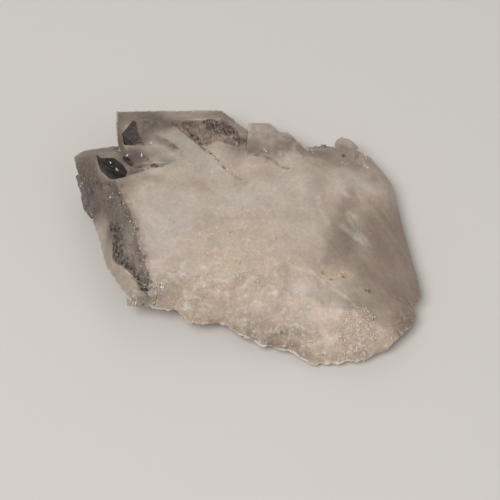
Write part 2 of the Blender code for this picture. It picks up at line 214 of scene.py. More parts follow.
# Sizes that a user may change: default, lowest and description, first lengths in mm and then counts
LENGTHS = {
    "column_step": (0.32, 0.1, "Spacing of the body's points around its rim"),
    "blade_step": (0.4, 0.1, "Spacing of a blade's points"),
    "lump_height": (0.4, 0.0, "Height of the broad lumps"),
    "sugar_height": (0.15, 0.0, "Height of the coarse sugar"),
    "grain_height": (0.07, 0.0, "Height of the fine sugar"),
    "swell_height": (0.18, 0.0, "Height of the wide swells"),
    "chip_depth": (0.3, 0.0, "Depth of chips along the rims"),
}
COUNTS = {
    "underside_rows": (8, 2, "Rows from the lower face to the rim"),
    "flank_rows": (34, 4, "Rows from the rim to the crest"),
    "top_rows": (56, 6, "Rows from the crest to the middle"),
    "wear_passes": (24, 0, "How round the right end is worn"),
    "grain_count": (4000, 1, "Number of sugary grains"),
}

# Colours that a user may change, as sRGB hex codes
COLOURS = {
    "milk": ("C5B5A7", "the milky body"),
    "milk_deep": ("B9A899", "its thicker clouds"),
    "tan": ("CCB9A8", "the iron-tinted sugary zone"),
    "white": ("C8BBB2", "the bluish white zone"),
    "slope": ("D4BFAF", "the rosy sugary slope"),
    "cool": ("B9B6A9", "the greener part around the bar"),
    # the grey colour also paints shade low along the body's front and at its right edges that fall away from
    # the light
    "grey": ("928074", "the grey, deeper right part"),
    "frost": ("9F9084", "the frosted bevels"),
    "smoke": ("857970", "the half-clear quartz"),
    # the smoky colour also paints the shade along the lower left side of the bar
    "smoky": ("5D514A", "the smoky, half-clear parts"),
    "brown": ("73523B", "the iron-brown parts"),
    "soot": ("33221B", "the dark speckled clear parts"),
    "absorb": ("B08C6E", "light that has gone through the quartz"),
    "window": ("4E3D31", "the clearest quartz"),
    "rust": ("CBB690", "iron stains"),
    "speck": ("8C7662", "the dark specks"),
    # the rim colour is chipped white, and on the step blades painted highlight of light from behind
    "rim": ("E2D8CF", "chipped rims"),
    # the white specks are partly painted sparkle and partly tiny fractures
    "spark": ("EFE6DC", "the white specks"),
    "druse": ("E8D5C6", "the sugary grains"),
    "chip": ("EFE8E0", "the clear chips"),
    "ochre": ("E0CCA8", "the iron-stained grains"),
    "floor": ("DAD6D0", "the pale floor"),
}


def linear(code):
    """An sRGB hex colour as linear red, green, blue and alpha."""
    parts = [int(code[index:index + 2], 16) / 255.0 for index in (0, 2, 4)]
    return [part / 12.92 if part <= 0.04045 else ((part + 0.055) / 1.055) ** 2.4 for part in parts] + [1.0]


# Shapes worked out with numpy

def ramp(value, low, high):
    """0 up to low, 1 from high on, and a smooth step between them; it falls where low is the higher one."""
    share = np.clip((value - low) / (high - low), 0.0, 1.0)
    return share * share * (3.0 - 2.0 * share)


def lattice_values(cells, seed):
    """One number from 0 to 1 for each whole-numbered cell, the same each time."""
    mixed = cells[..., 0] * 374761393 + cells[..., 1] * 668265263 + cells[..., 2] * 2147483647
    mixed = mixed + seed * 974634777
    mixed = (mixed ^ (mixed >> 13)) * 1274126177
    mixed = mixed ^ (mixed >> 16)
    return (mixed & 0xFFFFFF) / float(0xFFFFFF)


def clouds(points, size, seed):
    """Smooth noise from -1 to 1: lattice values blended along each axis by a smooth step."""
    scaled = points / size
    base = np.floor(scaled).astype(np.int64)
    share = ramp(scaled - base, 0.0, 1.0)
    total = np.zeros(points.shape[:-1])
    for corner in np.ndindex(2, 2, 2):
        weight = np.prod(np.where(np.array(corner) == 1, share, 1.0 - share), axis=-1)
        total += weight * lattice_values(base + np.array(corner), seed)
    return total * 2.0 - 1.0


def facets(points, size, seed):
    """Broken, flat-sided relief from -1 to 1: each grain is a tilted plane, and the highest grain shows."""
    scaled = points / size
    base = np.floor(scaled).astype(np.int64)
    highest = np.full(points.shape[:-1], -9.0)
    for shift in np.ndindex(3, 3, 3):
        cell = base + np.array(shift) - 1
        middle, tilt = (
            np.stack([lattice_values(cell, seed + first + k) for k in range(3)], axis=-1) for first in (0, 3)
        )
        offset = scaled - cell - middle
        height = (offset * (tilt * 2.0 - 1.0)).sum(-1) * 1.3 - (offset ** 2).sum(-1) * 1.1
        highest = np.maximum(highest, height)
    return np.clip(highest * 1.6 + 0.25, -1.0, 1.0)


def around(rows, step):
    """Points every step or so along the closed line through the rows' first three numbers."""
    parts = []
    for here, there in zip(rows, np.roll(rows, -1, axis=0)):
        count = max(1, round(float(np.linalg.norm(there[:3] - here[:3])) / step))
        parts.append(here + (there - here) * np.arange(count)[:, None] / count)
    return np.concatenate(parts)


def plateau(points):
    """Height of the upper face over each point: level, falling away to the right and the front."""
    right = np.maximum(0.0, points[..., 0] - PLATEAU_EDGE_X)
    front = np.maximum(0.0, PLATEAU_EDGE_Y - points[..., 1])
    return PLATEAU_HEIGHT - PLATEAU_FALL_X * right ** 2 - PLATEAU_FALL_Y * front ** 2


def sugar_at(points):
    """How sugary the body is: little at its right, more on its front slope, and most in one patch of that."""
    x, y = points[..., 0], points[..., 1]
    patch = ramp(np.hypot(x - SUGAR_PATCH[0], y - SUGAR_PATCH[1]), *SUGAR_REACH)
    return np.clip(0.1 + 0.25 * ramp(x, 16.0, 6.0) + 0.24 * ramp(-y, 10.0, 15.0) + 0.5 * patch, 0.0, 1.0)


def grid_normals(grid):
    """Outward unit normals of a ring grid, from the cross product of its two directions."""
    along = np.roll(grid, -1, axis=1) - np.roll(grid, 1, axis=1)
    normal = np.cross(along, np.gradient(grid, axis=0))
    return normal / np.maximum(np.linalg.norm(normal, axis=-1, keepdims=True), 1e-9)


def body_grid(sizes):
    """The body on a grid: around its rim, and from its lower face over the rim and crest to its middle.

    Each row is a ring: straight blends foot to rim and rim to crest, then shrinking copies of the
    crest at the plateau's height, less a drop that grows with the square of the share past the
    shoulder. The right end is worn round by averaging each ring with the two beside it, many
    times over. Relief is added along the normal.
    """
    rows = around(np.array(STATIONS), sizes["column_step"])
    rim, crest = rows[:, :3], rows[:, 3:]
    middle = np.array(BODY_MIDDLE)
    inward = middle - rim[:, :2]
    inward /= np.linalg.norm(inward, axis=1, keepdims=True)
    foot = np.zeros_like(rim)
    foot[:, :2] = rim[:, :2] + inward * (FOOT_MARGIN + FOOT_SLOPE * rim[:, 2:])
    low, rise, fall = (
        np.linspace(0.0, 1.0, sizes[name], endpoint=False)[:, None, None]
        for name in ("underside_rows", "flank_rows", "top_rows")
    )
    under = foot + (rim - foot) * low
    under[..., :2] -= inward * UNDERSIDE_BULGE * 4.0 * low * (1.0 - low) * rim[:, 2:]
    flank = rim + (crest - rim) * rise
    share = 1.0 - fall
    top = np.empty((len(share), *rim.shape))
    top[..., :2] = middle + (crest[:, :2] - middle) * share
    shoulder = np.maximum(0.0, (share[..., 0] - SHOULDER_START) / (1.0 - SHOULDER_START)) ** 2
    top[..., 2] = plateau(top) - (plateau(crest) - crest[:, 2]) * shoulder
    grid = np.concatenate([under, flank, top])
    worn = 0.5 * ramp(grid[1:-1, :, 0], *WORN_END)[..., None]
    worn[:2] = 0.0
    for _ in range(sizes["wear_passes"]):
        grid[1:-1] += worn * ((grid[:-2] + grid[2:]) / 2.0 - grid[1:-1])
    from_rim = np.abs(np.arange(len(grid)) - len(low))[:, None] / CHIPPED_ROWS
    broken = sizes["chip_depth"] * ramp(-grid[..., 1], *CHIPPED_FRONT) * ramp(from_rim, 1.0, 0.0)
    broken *= 1.6 * ramp(facets(grid, RIM_CHIP_WIDTH, RANDOM_SEED + 60), -0.2, 0.9)
    grid[..., :2] += inward * broken[..., None]
    lift = sizes["lump_height"] * facets(grid, LUMP_WIDTH, RANDOM_SEED)
    lift += sizes["sugar_height"] * facets(grid, SUGAR_WIDTH, RANDOM_SEED + 9)
    lift += sizes["grain_height"] * facets(grid, GRAIN_WIDTH, RANDOM_SEED + 18)
    lift *= sugar_at(grid)
    lift += sizes["swell_height"] * (clouds(grid, SWELL_WIDTH, RANDOM_SEED + 27) - 0.4)
    lift *= ramp(grid[..., 2], 0.0, 2.5)
    return grid + grid_normals(grid) * lift[..., None]


def cut_shares(count):
    """Shares from 0 to 1 in count steps, with both ends drawn in, which cuts the corners there."""
    share = np.linspace(0.0, 1.0, count + 1)
    share[0], share[-1] = CORNER_CUT / count, 1.0 - CORNER_CUT / count
    return share


def blade_grid(rim_height, lowest, corners, step, chip_depth):
    """A blade on a grid: around its corners, and from the middle of its lower face to that of its upper one.

    The rim is chipped: near it, points move towards the blade's middle where broken relief stands high.
    """
    rows = np.array(corners)[::-1]
    rim = np.column_stack([rows[:, :2], np.full(len(rows), rim_height)])
    top = rows[:, 2:]
    low = top.copy()
    low[:, 2] = np.maximum(lowest, 2.0 * rim_height - top[:, 2])
    lengths = np.linalg.norm(np.roll(rim, -1, axis=0) - rim, axis=1)
    counts = np.maximum(2, np.round(lengths / step).astype(int))
    rim, top, low = (
        np.concatenate([
            here + (there - here) * cut_shares(count)[:, None]
            for here, there, count in zip(loop, np.roll(loop, -1, axis=0), counts)
        ])
        for loop in (rim, top, low)
    )
    climb = cut_shares(max(4, round(float(np.linalg.norm(top - rim, axis=1).mean()) / step)))
    reach = np.linalg.norm(top[:, :2] - top[:, :2].mean(axis=0), axis=1).max()
    faces = max(4, round(float(reach) / step / 1.4))
    shrink = np.linspace(1.0, 0.0, faces, endpoint=False)
    shrink[0] = 1.0 - CORNER_CUT / faces
    grid = np.array(
        [low.mean(axis=0) + (low - low.mean(axis=0)) * share for share in shrink[::-1]]
        + [low + (rim - low) * share for share in climb]
        + [rim + (top - rim) * share for share in climb]
        + [top.mean(axis=0) + (top - top.mean(axis=0)) * share for share in shrink]
    )
    near_rim = ramp(np.abs(grid[..., 2] - rim_height), 1.0, 0.0)
    chips = chip_depth * near_rim * ramp(facets(grid, GRAIN_WIDTH, RANDOM_SEED + 40), 0.2, 1.0)
    inward = grid.mean(axis=(0, 1)) - grid
    inward[..., 2] = 0.0
    inward /= np.maximum(np.linalg.norm(inward, axis=-1, keepdims=True), 1.0)
    grid += inward * chips[..., None]
    grid[..., 2] += 0.07 * clouds(grid, 3.0, RANDOM_SEED + 50) + 0.03 * clouds(grid, 1.1, RANDOM_SEED + 51)
    return grid


def splinter_grid(draw, share):
    """A small six-sided broken crystal on a grid of three rings, leaning out over the back edge."""
    start, end = np.array(SPLINTER_LINE)
    spans = (SPLINTER_LENGTH, SPLINTER_WIDTH, SPLINTER_HEIGHT)
    length, width, height = (draw.uniform(*span) for span in spans)
    lean = draw.uniform(-SPLINTER_LEAN, SPLINTER_LEAN)
    root = np.array((*(start * (1.0 - share) + end * share), height))
    along = np.array((np.sin(lean), np.cos(lean), 0.15))
    across = np.array((along[1], -along[0], 0.0))
    turn = -np.arange(6) * np.pi / 3.0
    rows = []
    for reach, girth in ((-1.6, 1.0), (0.55, 1.0), (1.0, 0.3)):
        ring = root + along * (length * reach - length * 0.45)
        ring = ring + np.cos(turn)[:, None] * across * width * girth
        ring[:, 2] += np.sin(turn) * width * girth
        rows.append(ring)
    return np.array(rows)


# Meshes

def put_mesh(name, points, quads, triangles):
    """Makes a mesh object from whole arrays of points, in millimetres, and of face corners."""
    mesh = bpy.data.meshes.new(name)
    corners = np.concatenate([quads.ravel(), triangles.ravel()]).astype(np.int32)
    sizes = np.repeat((4, 3), (len(quads), len(triangles)))
    mesh.vertices.add(len(points))
    mesh.vertices.foreach_set("co", (points * MM).astype(np.float32).ravel())
    mesh.loops.add(len(corners))
    mesh.loops.foreach_set("vertex_index", corners)
    mesh.polygons.add(len(sizes))
    mesh.polygons.foreach_set("loop_start", (np.cumsum(sizes) - sizes).astype(np.int32))
    mesh.update(calc_edges=True)
    mesh.validate()
    made = bpy.data.objects.new(name, mesh)
    bpy.context.scene.collection.objects.link(made)
    return made


def closed_surface(name, grid, number):
    """A closed mesh from a ring grid, with a middle point that closes its first and last ring.

    Each face keeps the number of its crystal.
    """
    rows, columns = grid.shape[:2]
    index = np.arange(rows * columns).reshape(rows, columns)
    following = np.roll(index, -1, axis=1)
    quads = np.stack([index[:-1], following[:-1], following[1:], index[1:]], axis=-1).reshape(-1, 4)
    points = np.concatenate([grid.reshape(-1, 3), [grid[0].mean(axis=0)], [grid[-1].mean(axis=0)]])
    low = np.stack([following[0], index[0], np.full(columns, rows * columns)], axis=-1)
    high = np.stack([index[-1], following[-1], np.full(columns, rows * columns + 1)], axis=-1)
    made = put_mesh(name, points, quads, np.concatenate([low, high]))
    marks = made.data.attributes.new("crystal", "FLOAT", "FACE")
    marks.data.foreach_set("value", np.full(len(made.data.polygons), number, np.float32))
    return made


def unite(body, others):
    """Unites closed meshes with the body, which keeps the one mesh, and removes the rest."""
    for other in others:
        union = body.modifiers.new(other.name, "BOOLEAN")
        union.operation = "UNION"
        union.solver = "MANIFOLD"
        union.object = other
    joined = bpy.data.meshes.new_from_object(body.evaluated_get(bpy.context.evaluated_depsgraph_get()))
    joined.materials.clear()
    body.modifiers.clear()
    body.data = joined
    for other in others:
        bpy.data.objects.remove(other, do_unlink=True)


def read(items, name, width=1, kind=np.float32):
    """One property of all of a mesh's points, corners or faces as an array, width numbers for each."""
    values = np.empty(len(items) * width, kind)
    items.foreach_get(name, values)
    return values.reshape(-1, width) if width > 1 else values


# Zones of the slab's upper side, in its plan (x, y)

# Flat clear windows with crisp sides
WINDOWS = (
    # six-sided window of the left blade, and the slit beside it
    (
        (-28.6, 14.7), (-27.6, 13.8), (-25.1, 13.8), (-23.3, 12.2),
        (-22.3, 10.6), (-22.7, 9.0), (-25.6, 8.8), (-27.6, 10.9),
    ),
    ((-23.5, 14.3), (-22.5, 14.0), (-20.9, 11.9), (-21.9, 11.8), (-23.3, 13.3)),
    # three-sided window of the back blade
    ((-23.8, 19.2), (-21.7, 22.6), (-21.1, 22.2), (-20.6, 19.4), (-19.1, 16.3), (-23.2, 16.5)),
)
# Long clear strip down the left blade, darkest along its outer side
STRIP = (
    (-27.4, 8.4), (-23.4, 7.6), (-22.4, 3.4), (-20.6, -1.2), (-19.4, -7.5), (-17.2, -13.6),
    (-17.6, -16.5), (-21.4, -11.9), (-24.2, -8.6), (-24.4, -4.6), (-25.6, -0.6), (-27.0, 3.0),
)
STRIP_DARK_SIDE = ((-24.8, -3.6), (-24.2, -8.4), (-21.6, -11.9), (-17.9, -16.6))
# Dark speckled patch of the back blade, the brown patches beside it, and the brownish part around them
BLACK_PATCH = (
    (-8.4, 22.3), (-7.9, 22.7), (-3.8, 22.7), (-2.8, 21.7), (-1.7, 20.8), (-0.4, 19.4),
    (-1.3, 18.6), (-2.5, 19.2), (-3.1, 18.1), (-4.3, 19.1), (-6.3, 19.9), (-7.7, 20.4),
)
BROWN_PATCHES = (
    ((-12.3, 22.1), (-11.4, 22.5), (-10.0, 22.3), (-9.0, 20.9), (-9.6, 20.5), (-11.1, 21.2), (-12.2, 21.4)),
    ((-13.9, 22.3), (-12.7, 21.3), (-13.2, 20.7), (-14.1, 21.7)),
    ((-1.9, 18.3), (-0.7, 18.6), (0.6, 17.8), (0.7, 16.9), (-1.0, 16.8), (-1.8, 17.3)),
    ((-11.9, 20.9), (-10.6, 18.4), (-8.4, 16.5), (-7.8, 16.9), (-9.6, 18.9), (-11.2, 20.9)),
)
BROWN_PART = (
    (-13.0, 21.5), (-11.9, 22.9), (-8.6, 22.9), (-3.6, 22.8), (-0.4, 19.6), (0.8, 17.6), (0.8, 16.0),
    (-2.3, 16.2), (-4.2, 16.7), (-6.1, 17.0), (-7.2, 15.7), (-9.6, 17.7), (-12.7, 20.9),
)
# Diagonal bar, lighter than what lies on both its sides
BAR = ((-17.4, 21.0), (-13.2, 21.2), (-7.1, 14.9), (-2.0, 8.0), (-6.2, 8.2), (-13.9, 15.8), (-18.2, 20.2))
# Front right slope, and the iron-stained seam of the bar
SLOPE = (
    (2.0, -15.2), (10.5, -15.4), (13.6, -16.9), (15.8, -18.3), (18.5, -18.8), (20.4, -19.3), (21.6, -20.3),
    (24.2, -20.9), (26.4, -21.5), (28.0, -21.7), (30.4, -23.6), (33.0, -25.4), (30.0, -34.0), (-2.0, -34.0),
)
SEAM = ((-12.9, 21.0), (-8.7, 16.6), (-5.7, 13.2), (-2.6, 9.3), (-0.5, 8.0))

# Soft patches: x, y, reach along x, reach along y, strength
CLEAR_SPOTS = (
    (-30.6, 8.4, 3.4, 4.4, 0.6), (-31.4, 12.0, 2.6, 3.4, 0.45), (-29.8, 4.6, 2.6, 3.4, 0.5),
    (-28.4, 2.4, 2.2, 2.6, 0.4), (-27.4, 7.4, 3.4, 2.2, 0.55), (-25.0, 7.0, 3.0, 2.0, 0.45),
    (-18.4, 23.2, 5.0, 3.0, 0.5), (-20.6, 18.6, 2.4, 3.2, 0.6), (20.0, 18.8, 3.0, 2.6, 0.3),
)
SMOKY_SPOTS = (
    (-30.6, 8.6, 3.8, 5.0, 1.0), (-29.8, 4.8, 3.0, 4.0, 1.0), (-28.6, 2.8, 2.8, 3.2, 1.0),
    (-18.6, 20.6, 4.4, 3.4, 0.5), (-31.0, 11.0, 4.0, 4.0, 0.6), (-32.2, 10.6, 2.4, 5.0, 1.0),
    (-21.6, 12.2, 3.2, 2.4, 0.7), (-17.2, 14.2, 3.5, 2.0, 0.35), (-15.0, 20.6, 2.6, 1.8, 0.5),
    (-14.6, 12.8, 2.2, 1.2, 0.4), (-26.6, 6.4, 3.6, 3.0, 0.6), (-17.8, 22.9, 5.5, 3.0, 0.85),
    (-27.5, 17.8, 4.6, 1.8, 0.45), (-25.4, 2.6, 2.6, 5.0, 0.95), (-23.8, -2.6, 2.4, 4.6, 0.9),
    (-13.8, 22.2, 4.0, 2.0, 0.8), (-18.8, 21.4, 3.6, 2.6, 0.7), (-20.3, 18.6, 3.0, 3.6, 0.9),
    (-23.0, 13.6, 4.6, 3.0, 0.8), (-20.0, 13.2, 3.4, 1.8, 0.6), (-30.0, 14.4, 5.0, 4.6, 0.5),
    (-24.4, 18.6, 1.6, 4.0, 1.0), (-32.0, 13.2, 2.4, 3.6, 0.4), (-21.6, 10.4, 2.6, 1.2, 0.8),
    (-24.6, 25.0, 4.0, 4.0, 0.6), (-12.4, 16.0, 2.4, 1.6, 0.5), (19.4, -4.6, 2.8, 4.6, 0.6),
    (20.4, -18.6, 5.0, 2.4, 0.55), (1.8, 15.8, 4.5, 2.2, 0.3), (1.6, 17.6, 3.0, 1.8, 0.4),
    (7.5, 17.3, 3.4, 1.8, 0.25), (-3.5, 24.6, 5.0, 2.6, 0.4), (-10.6, 19.0, 2.6, 2.0, 0.35),
    (15.0, 16.4, 3.6, 1.6, 0.6), (-18.8, 25.4, 4.4, 2.2, 0.5), (-20.9, 5.6, 1.8, 3.2, 0.5),
    (1.0, -19.8, 5.0, 2.4, 0.4), (10.5, -20.5, 3.4, 2.4, 0.3), (-22.3, 0.6, 1.8, 2.6, 0.7),
    (-19.2, -15.6, 2.4, 1.6, 0.4), (-21.4, 14.4, 2.0, 1.6, 0.4),
)
DARK_SPOTS = (
    (-20.3, 11.6, 0.5, 0.35, 0.8), (-30.3, 9.4, 1.8, 2.4, 0.34), (-19.4, 11.0, 0.7, 0.4, 0.9),
    (-18.9, 12.9, 0.6, 0.4, 0.9), (-18.1, 12.4, 0.7, 0.4, 1.0), (-18.4, 11.2, 0.45, 0.35, 0.7),
    (-17.3, 11.8, 0.9, 0.45, 1.0), (-16.2, 11.4, 1.0, 0.35, 0.9), (-13.7, 16.2, 0.8, 0.4, 1.0),
    (-13.1, 15.4, 0.7, 0.3, 0.7), (-6.4, 14.0, 0.5, 0.4, 0.8), (19.7, 15.6, 0.7, 0.5, 1.0),
    (22.9, -15.6, 1.0, 0.25, 0.8), (26.0, -10.2, 0.4, 0.3, 0.8), (-19.4, 13.6, 0.5, 0.4, 0.9),
    (16.0, -13.8, 0.4, 0.25, 0.8), (18.1, -13.3, 0.5, 0.2, 0.8), (14.8, -12.8, 0.35, 0.2, 0.8),
    (7.0, -21.3, 0.7, 0.4, 0.6),
)
TAN_SPOTS = ((-1.5, -10.8, 18.0, 16.0, 1.0), (8.0, 13.5, 10.0, 5.0, 0.6), (-8.0, -17.0, 12.0, 6.0, 0.8))
WHITE_SPOTS = (
    (-15.0, -2.0, 9.0, 13.0, 1.0), (0.5, 3.5, 9.0, 5.0, 0.9), (10.0, 7.0, 8.0, 8.0, 0.5),
    (12.0, -3.0, 7.0, 8.0, 0.5), (23.0, 9.0, 7.0, 4.0, 0.5), (10.5, -15.2, 2.2, 1.0, 1.0),
    (-10.4, -17.4, 1.1, 0.9, 1.0), (5.7, -15.6, 1.6, 1.0, 0.8),
)
# Grey patches: the grey right part, and painted shade where its back right edge and front right end fall away
# from the light
GREY_SPOTS = (
    (19.7, -3.4, 5.0, 6.2, 1.0), (-13.5, -14.5, 8.0, 5.0, 0.35), (-8.0, 21.0, 8.0, 3.6, 0.5),
    (12.0, 16.2, 8.0, 3.0, 0.8), (15.0, 12.6, 6.0, 3.0, 0.4), (4.6, 14.9, 5.5, 3.0, 0.75),
    (20.8, -8.4, 3.2, 3.6, 0.6), (30.5, -19.5, 4.0, 4.5, 1.0), (20.0, 13.8, 5.0, 3.6, 0.9),
    (26.2, 12.0, 3.2, 4.4, 0.4), (28.8, 8.0, 2.0, 4.5, 0.3), (-21.8, 9.8, 2.8, 1.3, 1.0),
    (-20.4, 7.4, 3.6, 3.0, 0.45), (-17.6, 8.4, 3.0, 1.8, 0.4), (24.8, 15.6, 2.4, 2.8, 0.5),
    (33.2, -12.0, 3.0, 10.0, 0.8), (17.8, -8.6, 2.8, 4.4, 0.9), (20.4, 3.6, 3.2, 4.6, 0.75),
    (26.4, -0.6, 5.4, 6.0, 0.95), (27.2, -6.0, 7.0, 7.0, 1.0), (23.6, -11.0, 5.6, 5.0, 1.0),
    (28.0, -15.5, 8.0, 7.5, 0.95), (22.0, -15.5, 5.0, 3.6, 0.3), (-1.5, 15.0, 6.0, 2.4, 0.8),
    (31.0, 0.0, 5.0, 14.0, 0.9), (14.0, 6.0, 3.0, 6.0, 0.3), (4.0, 20.5, 6.5, 4.5, 0.35),
    (10.0, 18.5, 5.0, 3.5, 0.8), (20.0, 17.5, 4.5, 4.0, 0.9), (16.0, 15.8, 5.0, 2.6, 0.8),
    (-23.0, 13.6, 5.0, 3.4, 1.0), (-29.5, 15.0, 5.5, 4.0, 0.9), (-25.0, 6.0, 5.0, 6.0, 0.9),
    (-22.0, 25.0, 6.0, 3.5, 0.8), (-4.5, 24.5, 7.0, 2.6, 0.7), (-24.4, 19.5, 1.8, 4.5, 0.9),
    (-17.6, 17.4, 3.6, 2.4, 0.7), (-16.6, -16.4, 3.2, 2.6, 0.5),
)
# Greener, cooler part around the bar
COOL_SPOTS = ((-14.5, 15.0, 7.0, 5.5, 0.42), (-7.0, 11.5, 4.0, 4.0, 0.3))
# Hazy places in the clear strip and blade, and veiled places in the windows
HAZE_SPOTS = ((-25.6, 4.7, 2.8, 0.9, 0.8), (-28.2, 3.0, 1.2, 1.6, 0.6), (-29.8, 12.4, 1.8, 1.0, 0.5))
VEIL_SPOTS = (
    (-20.2, 15.8, 3.4, 3.2, 1.0), (-23.2, 10.2, 2.2, 2.2, 0.25), (-21.2, 20.0, 3.6, 4.6, 0.6),
)
# White glassy lumps, yellow stains, and the left tip, which has no white rim line
LUMPS = ((-10.4, -17.4, 1.1, 0.9, 0.9), (5.6, -15.4, 1.5, 1.0, 0.6))
STAIN_SPOTS = (
    (15.0, -12.6, 0.9, 0.7, 0.9), (16.9, -13.2, 1.0, 0.6, 0.9), (18.6, -12.4, 1.0, 0.7, 1.0),
    (19.7, -12.8, 0.9, 0.8, 1.0), (3.2, -14.0, 1.3, 0.8, 1.0), (7.3, -17.8, 0.9, 0.6, 1.0),
    (11.0, -23.0, 0.5, 0.4, 0.9), (-12.0, -16.4, 0.9, 0.6, 1.0),
)
TIP_SPOTS = ((-31.5, 8.5, 3.0, 8.0, 1.0),)
# Where sugary grains and clear chips grow
DRUSE_SPOTS = (
    (20.9, -22.6, 3.8, 4.2, 1.0), (19.0, -20.4, 2.4, 1.0, 0.35), (-1.5, -10.8, 18.0, 14.0, 0.01),
    (-10.0, -18.0, 10.0, 3.0, 0.02),
)
CHIP_SPOTS = (
    (-20.6, -16.2, 2.6, 1.6, 0.5), (-16.4, -14.6, 2.6, 1.4, 1.0), (23.4, 16.6, 1.2, 1.8, 0.25),
    (-4.9, 12.1, 0.9, 1.2, 0.35), (19.4, 13.2, 1.8, 0.7, 0.3), (23.6, 13.4, 1.2, 0.9, 0.4),
    (10.8, -15.3, 2.4, 0.9, 0.2), (21.4, 16.4, 1.4, 0.8, 0.2), (-25.4, 4.8, 1.6, 0.9, 0.3),
    (-10.4, -17.4, 0.8, 0.6, 0.5),
)
# Thin white lines where faces meet or small cracks reach the surface; the last two, along the step blades'
# back edges, are painted highlight of light from behind
BRIGHT_LINES = (
    ((-24.0, 6.2), (-24.5, 8.6), (-22.2, 9.1)), ((-23.3, 16.4), (-23.9, 19.2), (-21.8, 22.6)),
    ((-5.4, 16.3), (-3.0, 16.0), (0.8, 14.8), (2.6, 13.6)), ((-6.2, 9.6), (-3.4, 10.0)),
    ((1.0, 22.6), (1.7, 23.1), (4.9, 23.1), (7.4, 20.3)), ((7.6, 21.1), (8.7, 21.0), (11.4, 17.8)),
)
# Dull lines: painted shade along the lower left side of the bar, and cracks beside it and in the step blades
DULL_LINES = (
    ((-18.6, 20.4), (-16.3, 18.4), (-13.7, 16.2), (-12.0, 14.6)),
    ((-8.6, 16.6), (-4.4, 17.4), (-1.0, 16.2), (2.0, 14.4)),
    ((-1.1, 14.9), (0.9, 13.9), (2.8, 14.4), (5.1, 13.2), (6.8, 11.5), (8.5, 10.8)),
    ((-22.8, 10.7), (-20.6, 10.2), (-19.4, 11.4)),
    ((-23.2, 5.9), (-22.9, 6.6), (-22.1, 7.1), (-21.3, 6.8), (-20.8, 6.1)),
)
# Shade along the lower left side of the bar
BAR_SHADE = ((-19.0, 20.4), (-16.6, 18.2), (-14.4, 16.3), (-13.2, 15.4))
# White wisps in the right part, and lines of yellow stain
WISPS = (
    ((18.6, 11.3), (20.6, 7.6), (22.4, 4.6)), ((20.3, 0.4), (21.4, -2.0), (23.2, -5.6)),
    ((21.3, 0.6), (21.5, -2.0), (22.5, -5.4)), ((13.8, 4.3), (14.6, 1.4), (16.3, -1.4)),
    ((16.8, 8.3), (20.1, 5.2)), ((18.9, -1.9), (21.4, -4.8)), ((20.3, 1.1), (21.6, -1.6)),
    ((19.0, 11.5), (22.0, 8.6), (26.0, 6.5)),
)
STAIN_LINES = (
    ((14.5, -13.1), (16.4, -12.6), (17.3, -13.1), (18.8, -12.2), (19.7, -13.2)),
    ((14.3, -13.6), (16.4, -13.7)),
)
# Where the body's upper face ends at the strip, crumbly and specked
BORDER = (
    (-23.9, 6.4), (-23.0, 2.9), (-21.8, 0.5), (-20.7, -1.7),
    (-19.6, -4.8), (-19.0, -7.9), (-18.0, -11.4), (-17.2, -13.4),
)
# Crumbly line of pale and ochre grains along the seam
CRUMBS = ((-6.3, 13.8), (-4.5, 11.5), (-3.0, 9.7), (-0.5, 8.0))
# Lone bright crystals
SPARKLES = (
    (-31.3, 10.4), (-25.7, 12.8), (-25.1, 15.7), (-24.4, 10.9), (-22.3, 14.3), (-19.7, 14.1), (-18.1, 17.0),
    (-13.7, 14.0), (-12.7, 10.2), (-10.4, -17.4), (-10.2, -17.2), (-6.2, 26.1), (-1.2, 16.6), (4.2, 15.5),
    (7.7, 10.0), (13.3, 16.7), (17.9, 18.0), (18.9, 13.2), (19.9, 13.0), (23.6, 13.3), (23.9, 13.0),
    (5.4, -14.9), (-4.0, 18.6), (-5.6, 18.8),
)


def line_offsets(points, here, there):
    """Points' offsets from where lines start, the lines' directions, and the distance to the nearest one."""
    edge = there - here
    offset = points[:, None, :here.shape[1]] - here
    share = np.clip((offset * edge).sum(-1) / (edge ** 2).sum(-1), 0.0, 1.0)
    return offset, edge, np.linalg.norm(offset - share[..., None] * edge, axis=-1).min(axis=1)


def polygon_depth(points, *polygons):
    """Signed distance in the plan to the nearest of some closed lines of corners, above zero inside one."""
    depths = []
    for polygon in polygons:
        here = np.array(polygon)
        offset, edge, distance = line_offsets(points, here, np.roll(here, -1, axis=0))
        crosses = (offset[..., 1] >= 0.0) != (offset[..., 1] >= edge[:, 1])
        side = offset[..., 0] * edge[:, 1] - offset[..., 1] * edge[:, 0]
        left = np.where(edge[:, 1] > 0.0, side < 0.0, side > 0.0)
        inside = (crosses & left).sum(axis=1) % 2 == 1
        depths.append(np.where(inside, distance, -distance))
    return np.max(depths, axis=0)


def line_distance(points, *lines):
    """Distance in the plan to the nearest of some open lines of points."""
    ends = [(np.array(line[:-1]), np.array(line[1:])) for line in lines]
    return np.min([line_offsets(points, here, there)[2] for here, there in ends], axis=0)


def rim_distance(points):
    """Distance to the nearest rim line of the body or of the blades that carry white rim lines."""
    loops = [np.array(STATIONS)[:, :3]]
    for name in WORN_AND_LIT_BLADES:
        height, _, corners = BLADES[name]
        loops.append(np.array([(x, y, height) for x, y, *_ in corners]))
    return np.min([line_offsets(points, loop, np.roll(loop, -1, axis=0))[2] for loop in loops], axis=0)


def spots(points, places):
    """Soft round patches laid over each other, each full near its middle and gone just past its reach."""
    rest = np.ones(len(points))
    for x, y, across, along, strength in places:
        away = np.hypot((points[:, 0] - x) / across, (points[:, 1] - y) / along)
        rest *= 1.0 - strength * ramp(away, 1.15, 0.1)
    return 1.0 - rest


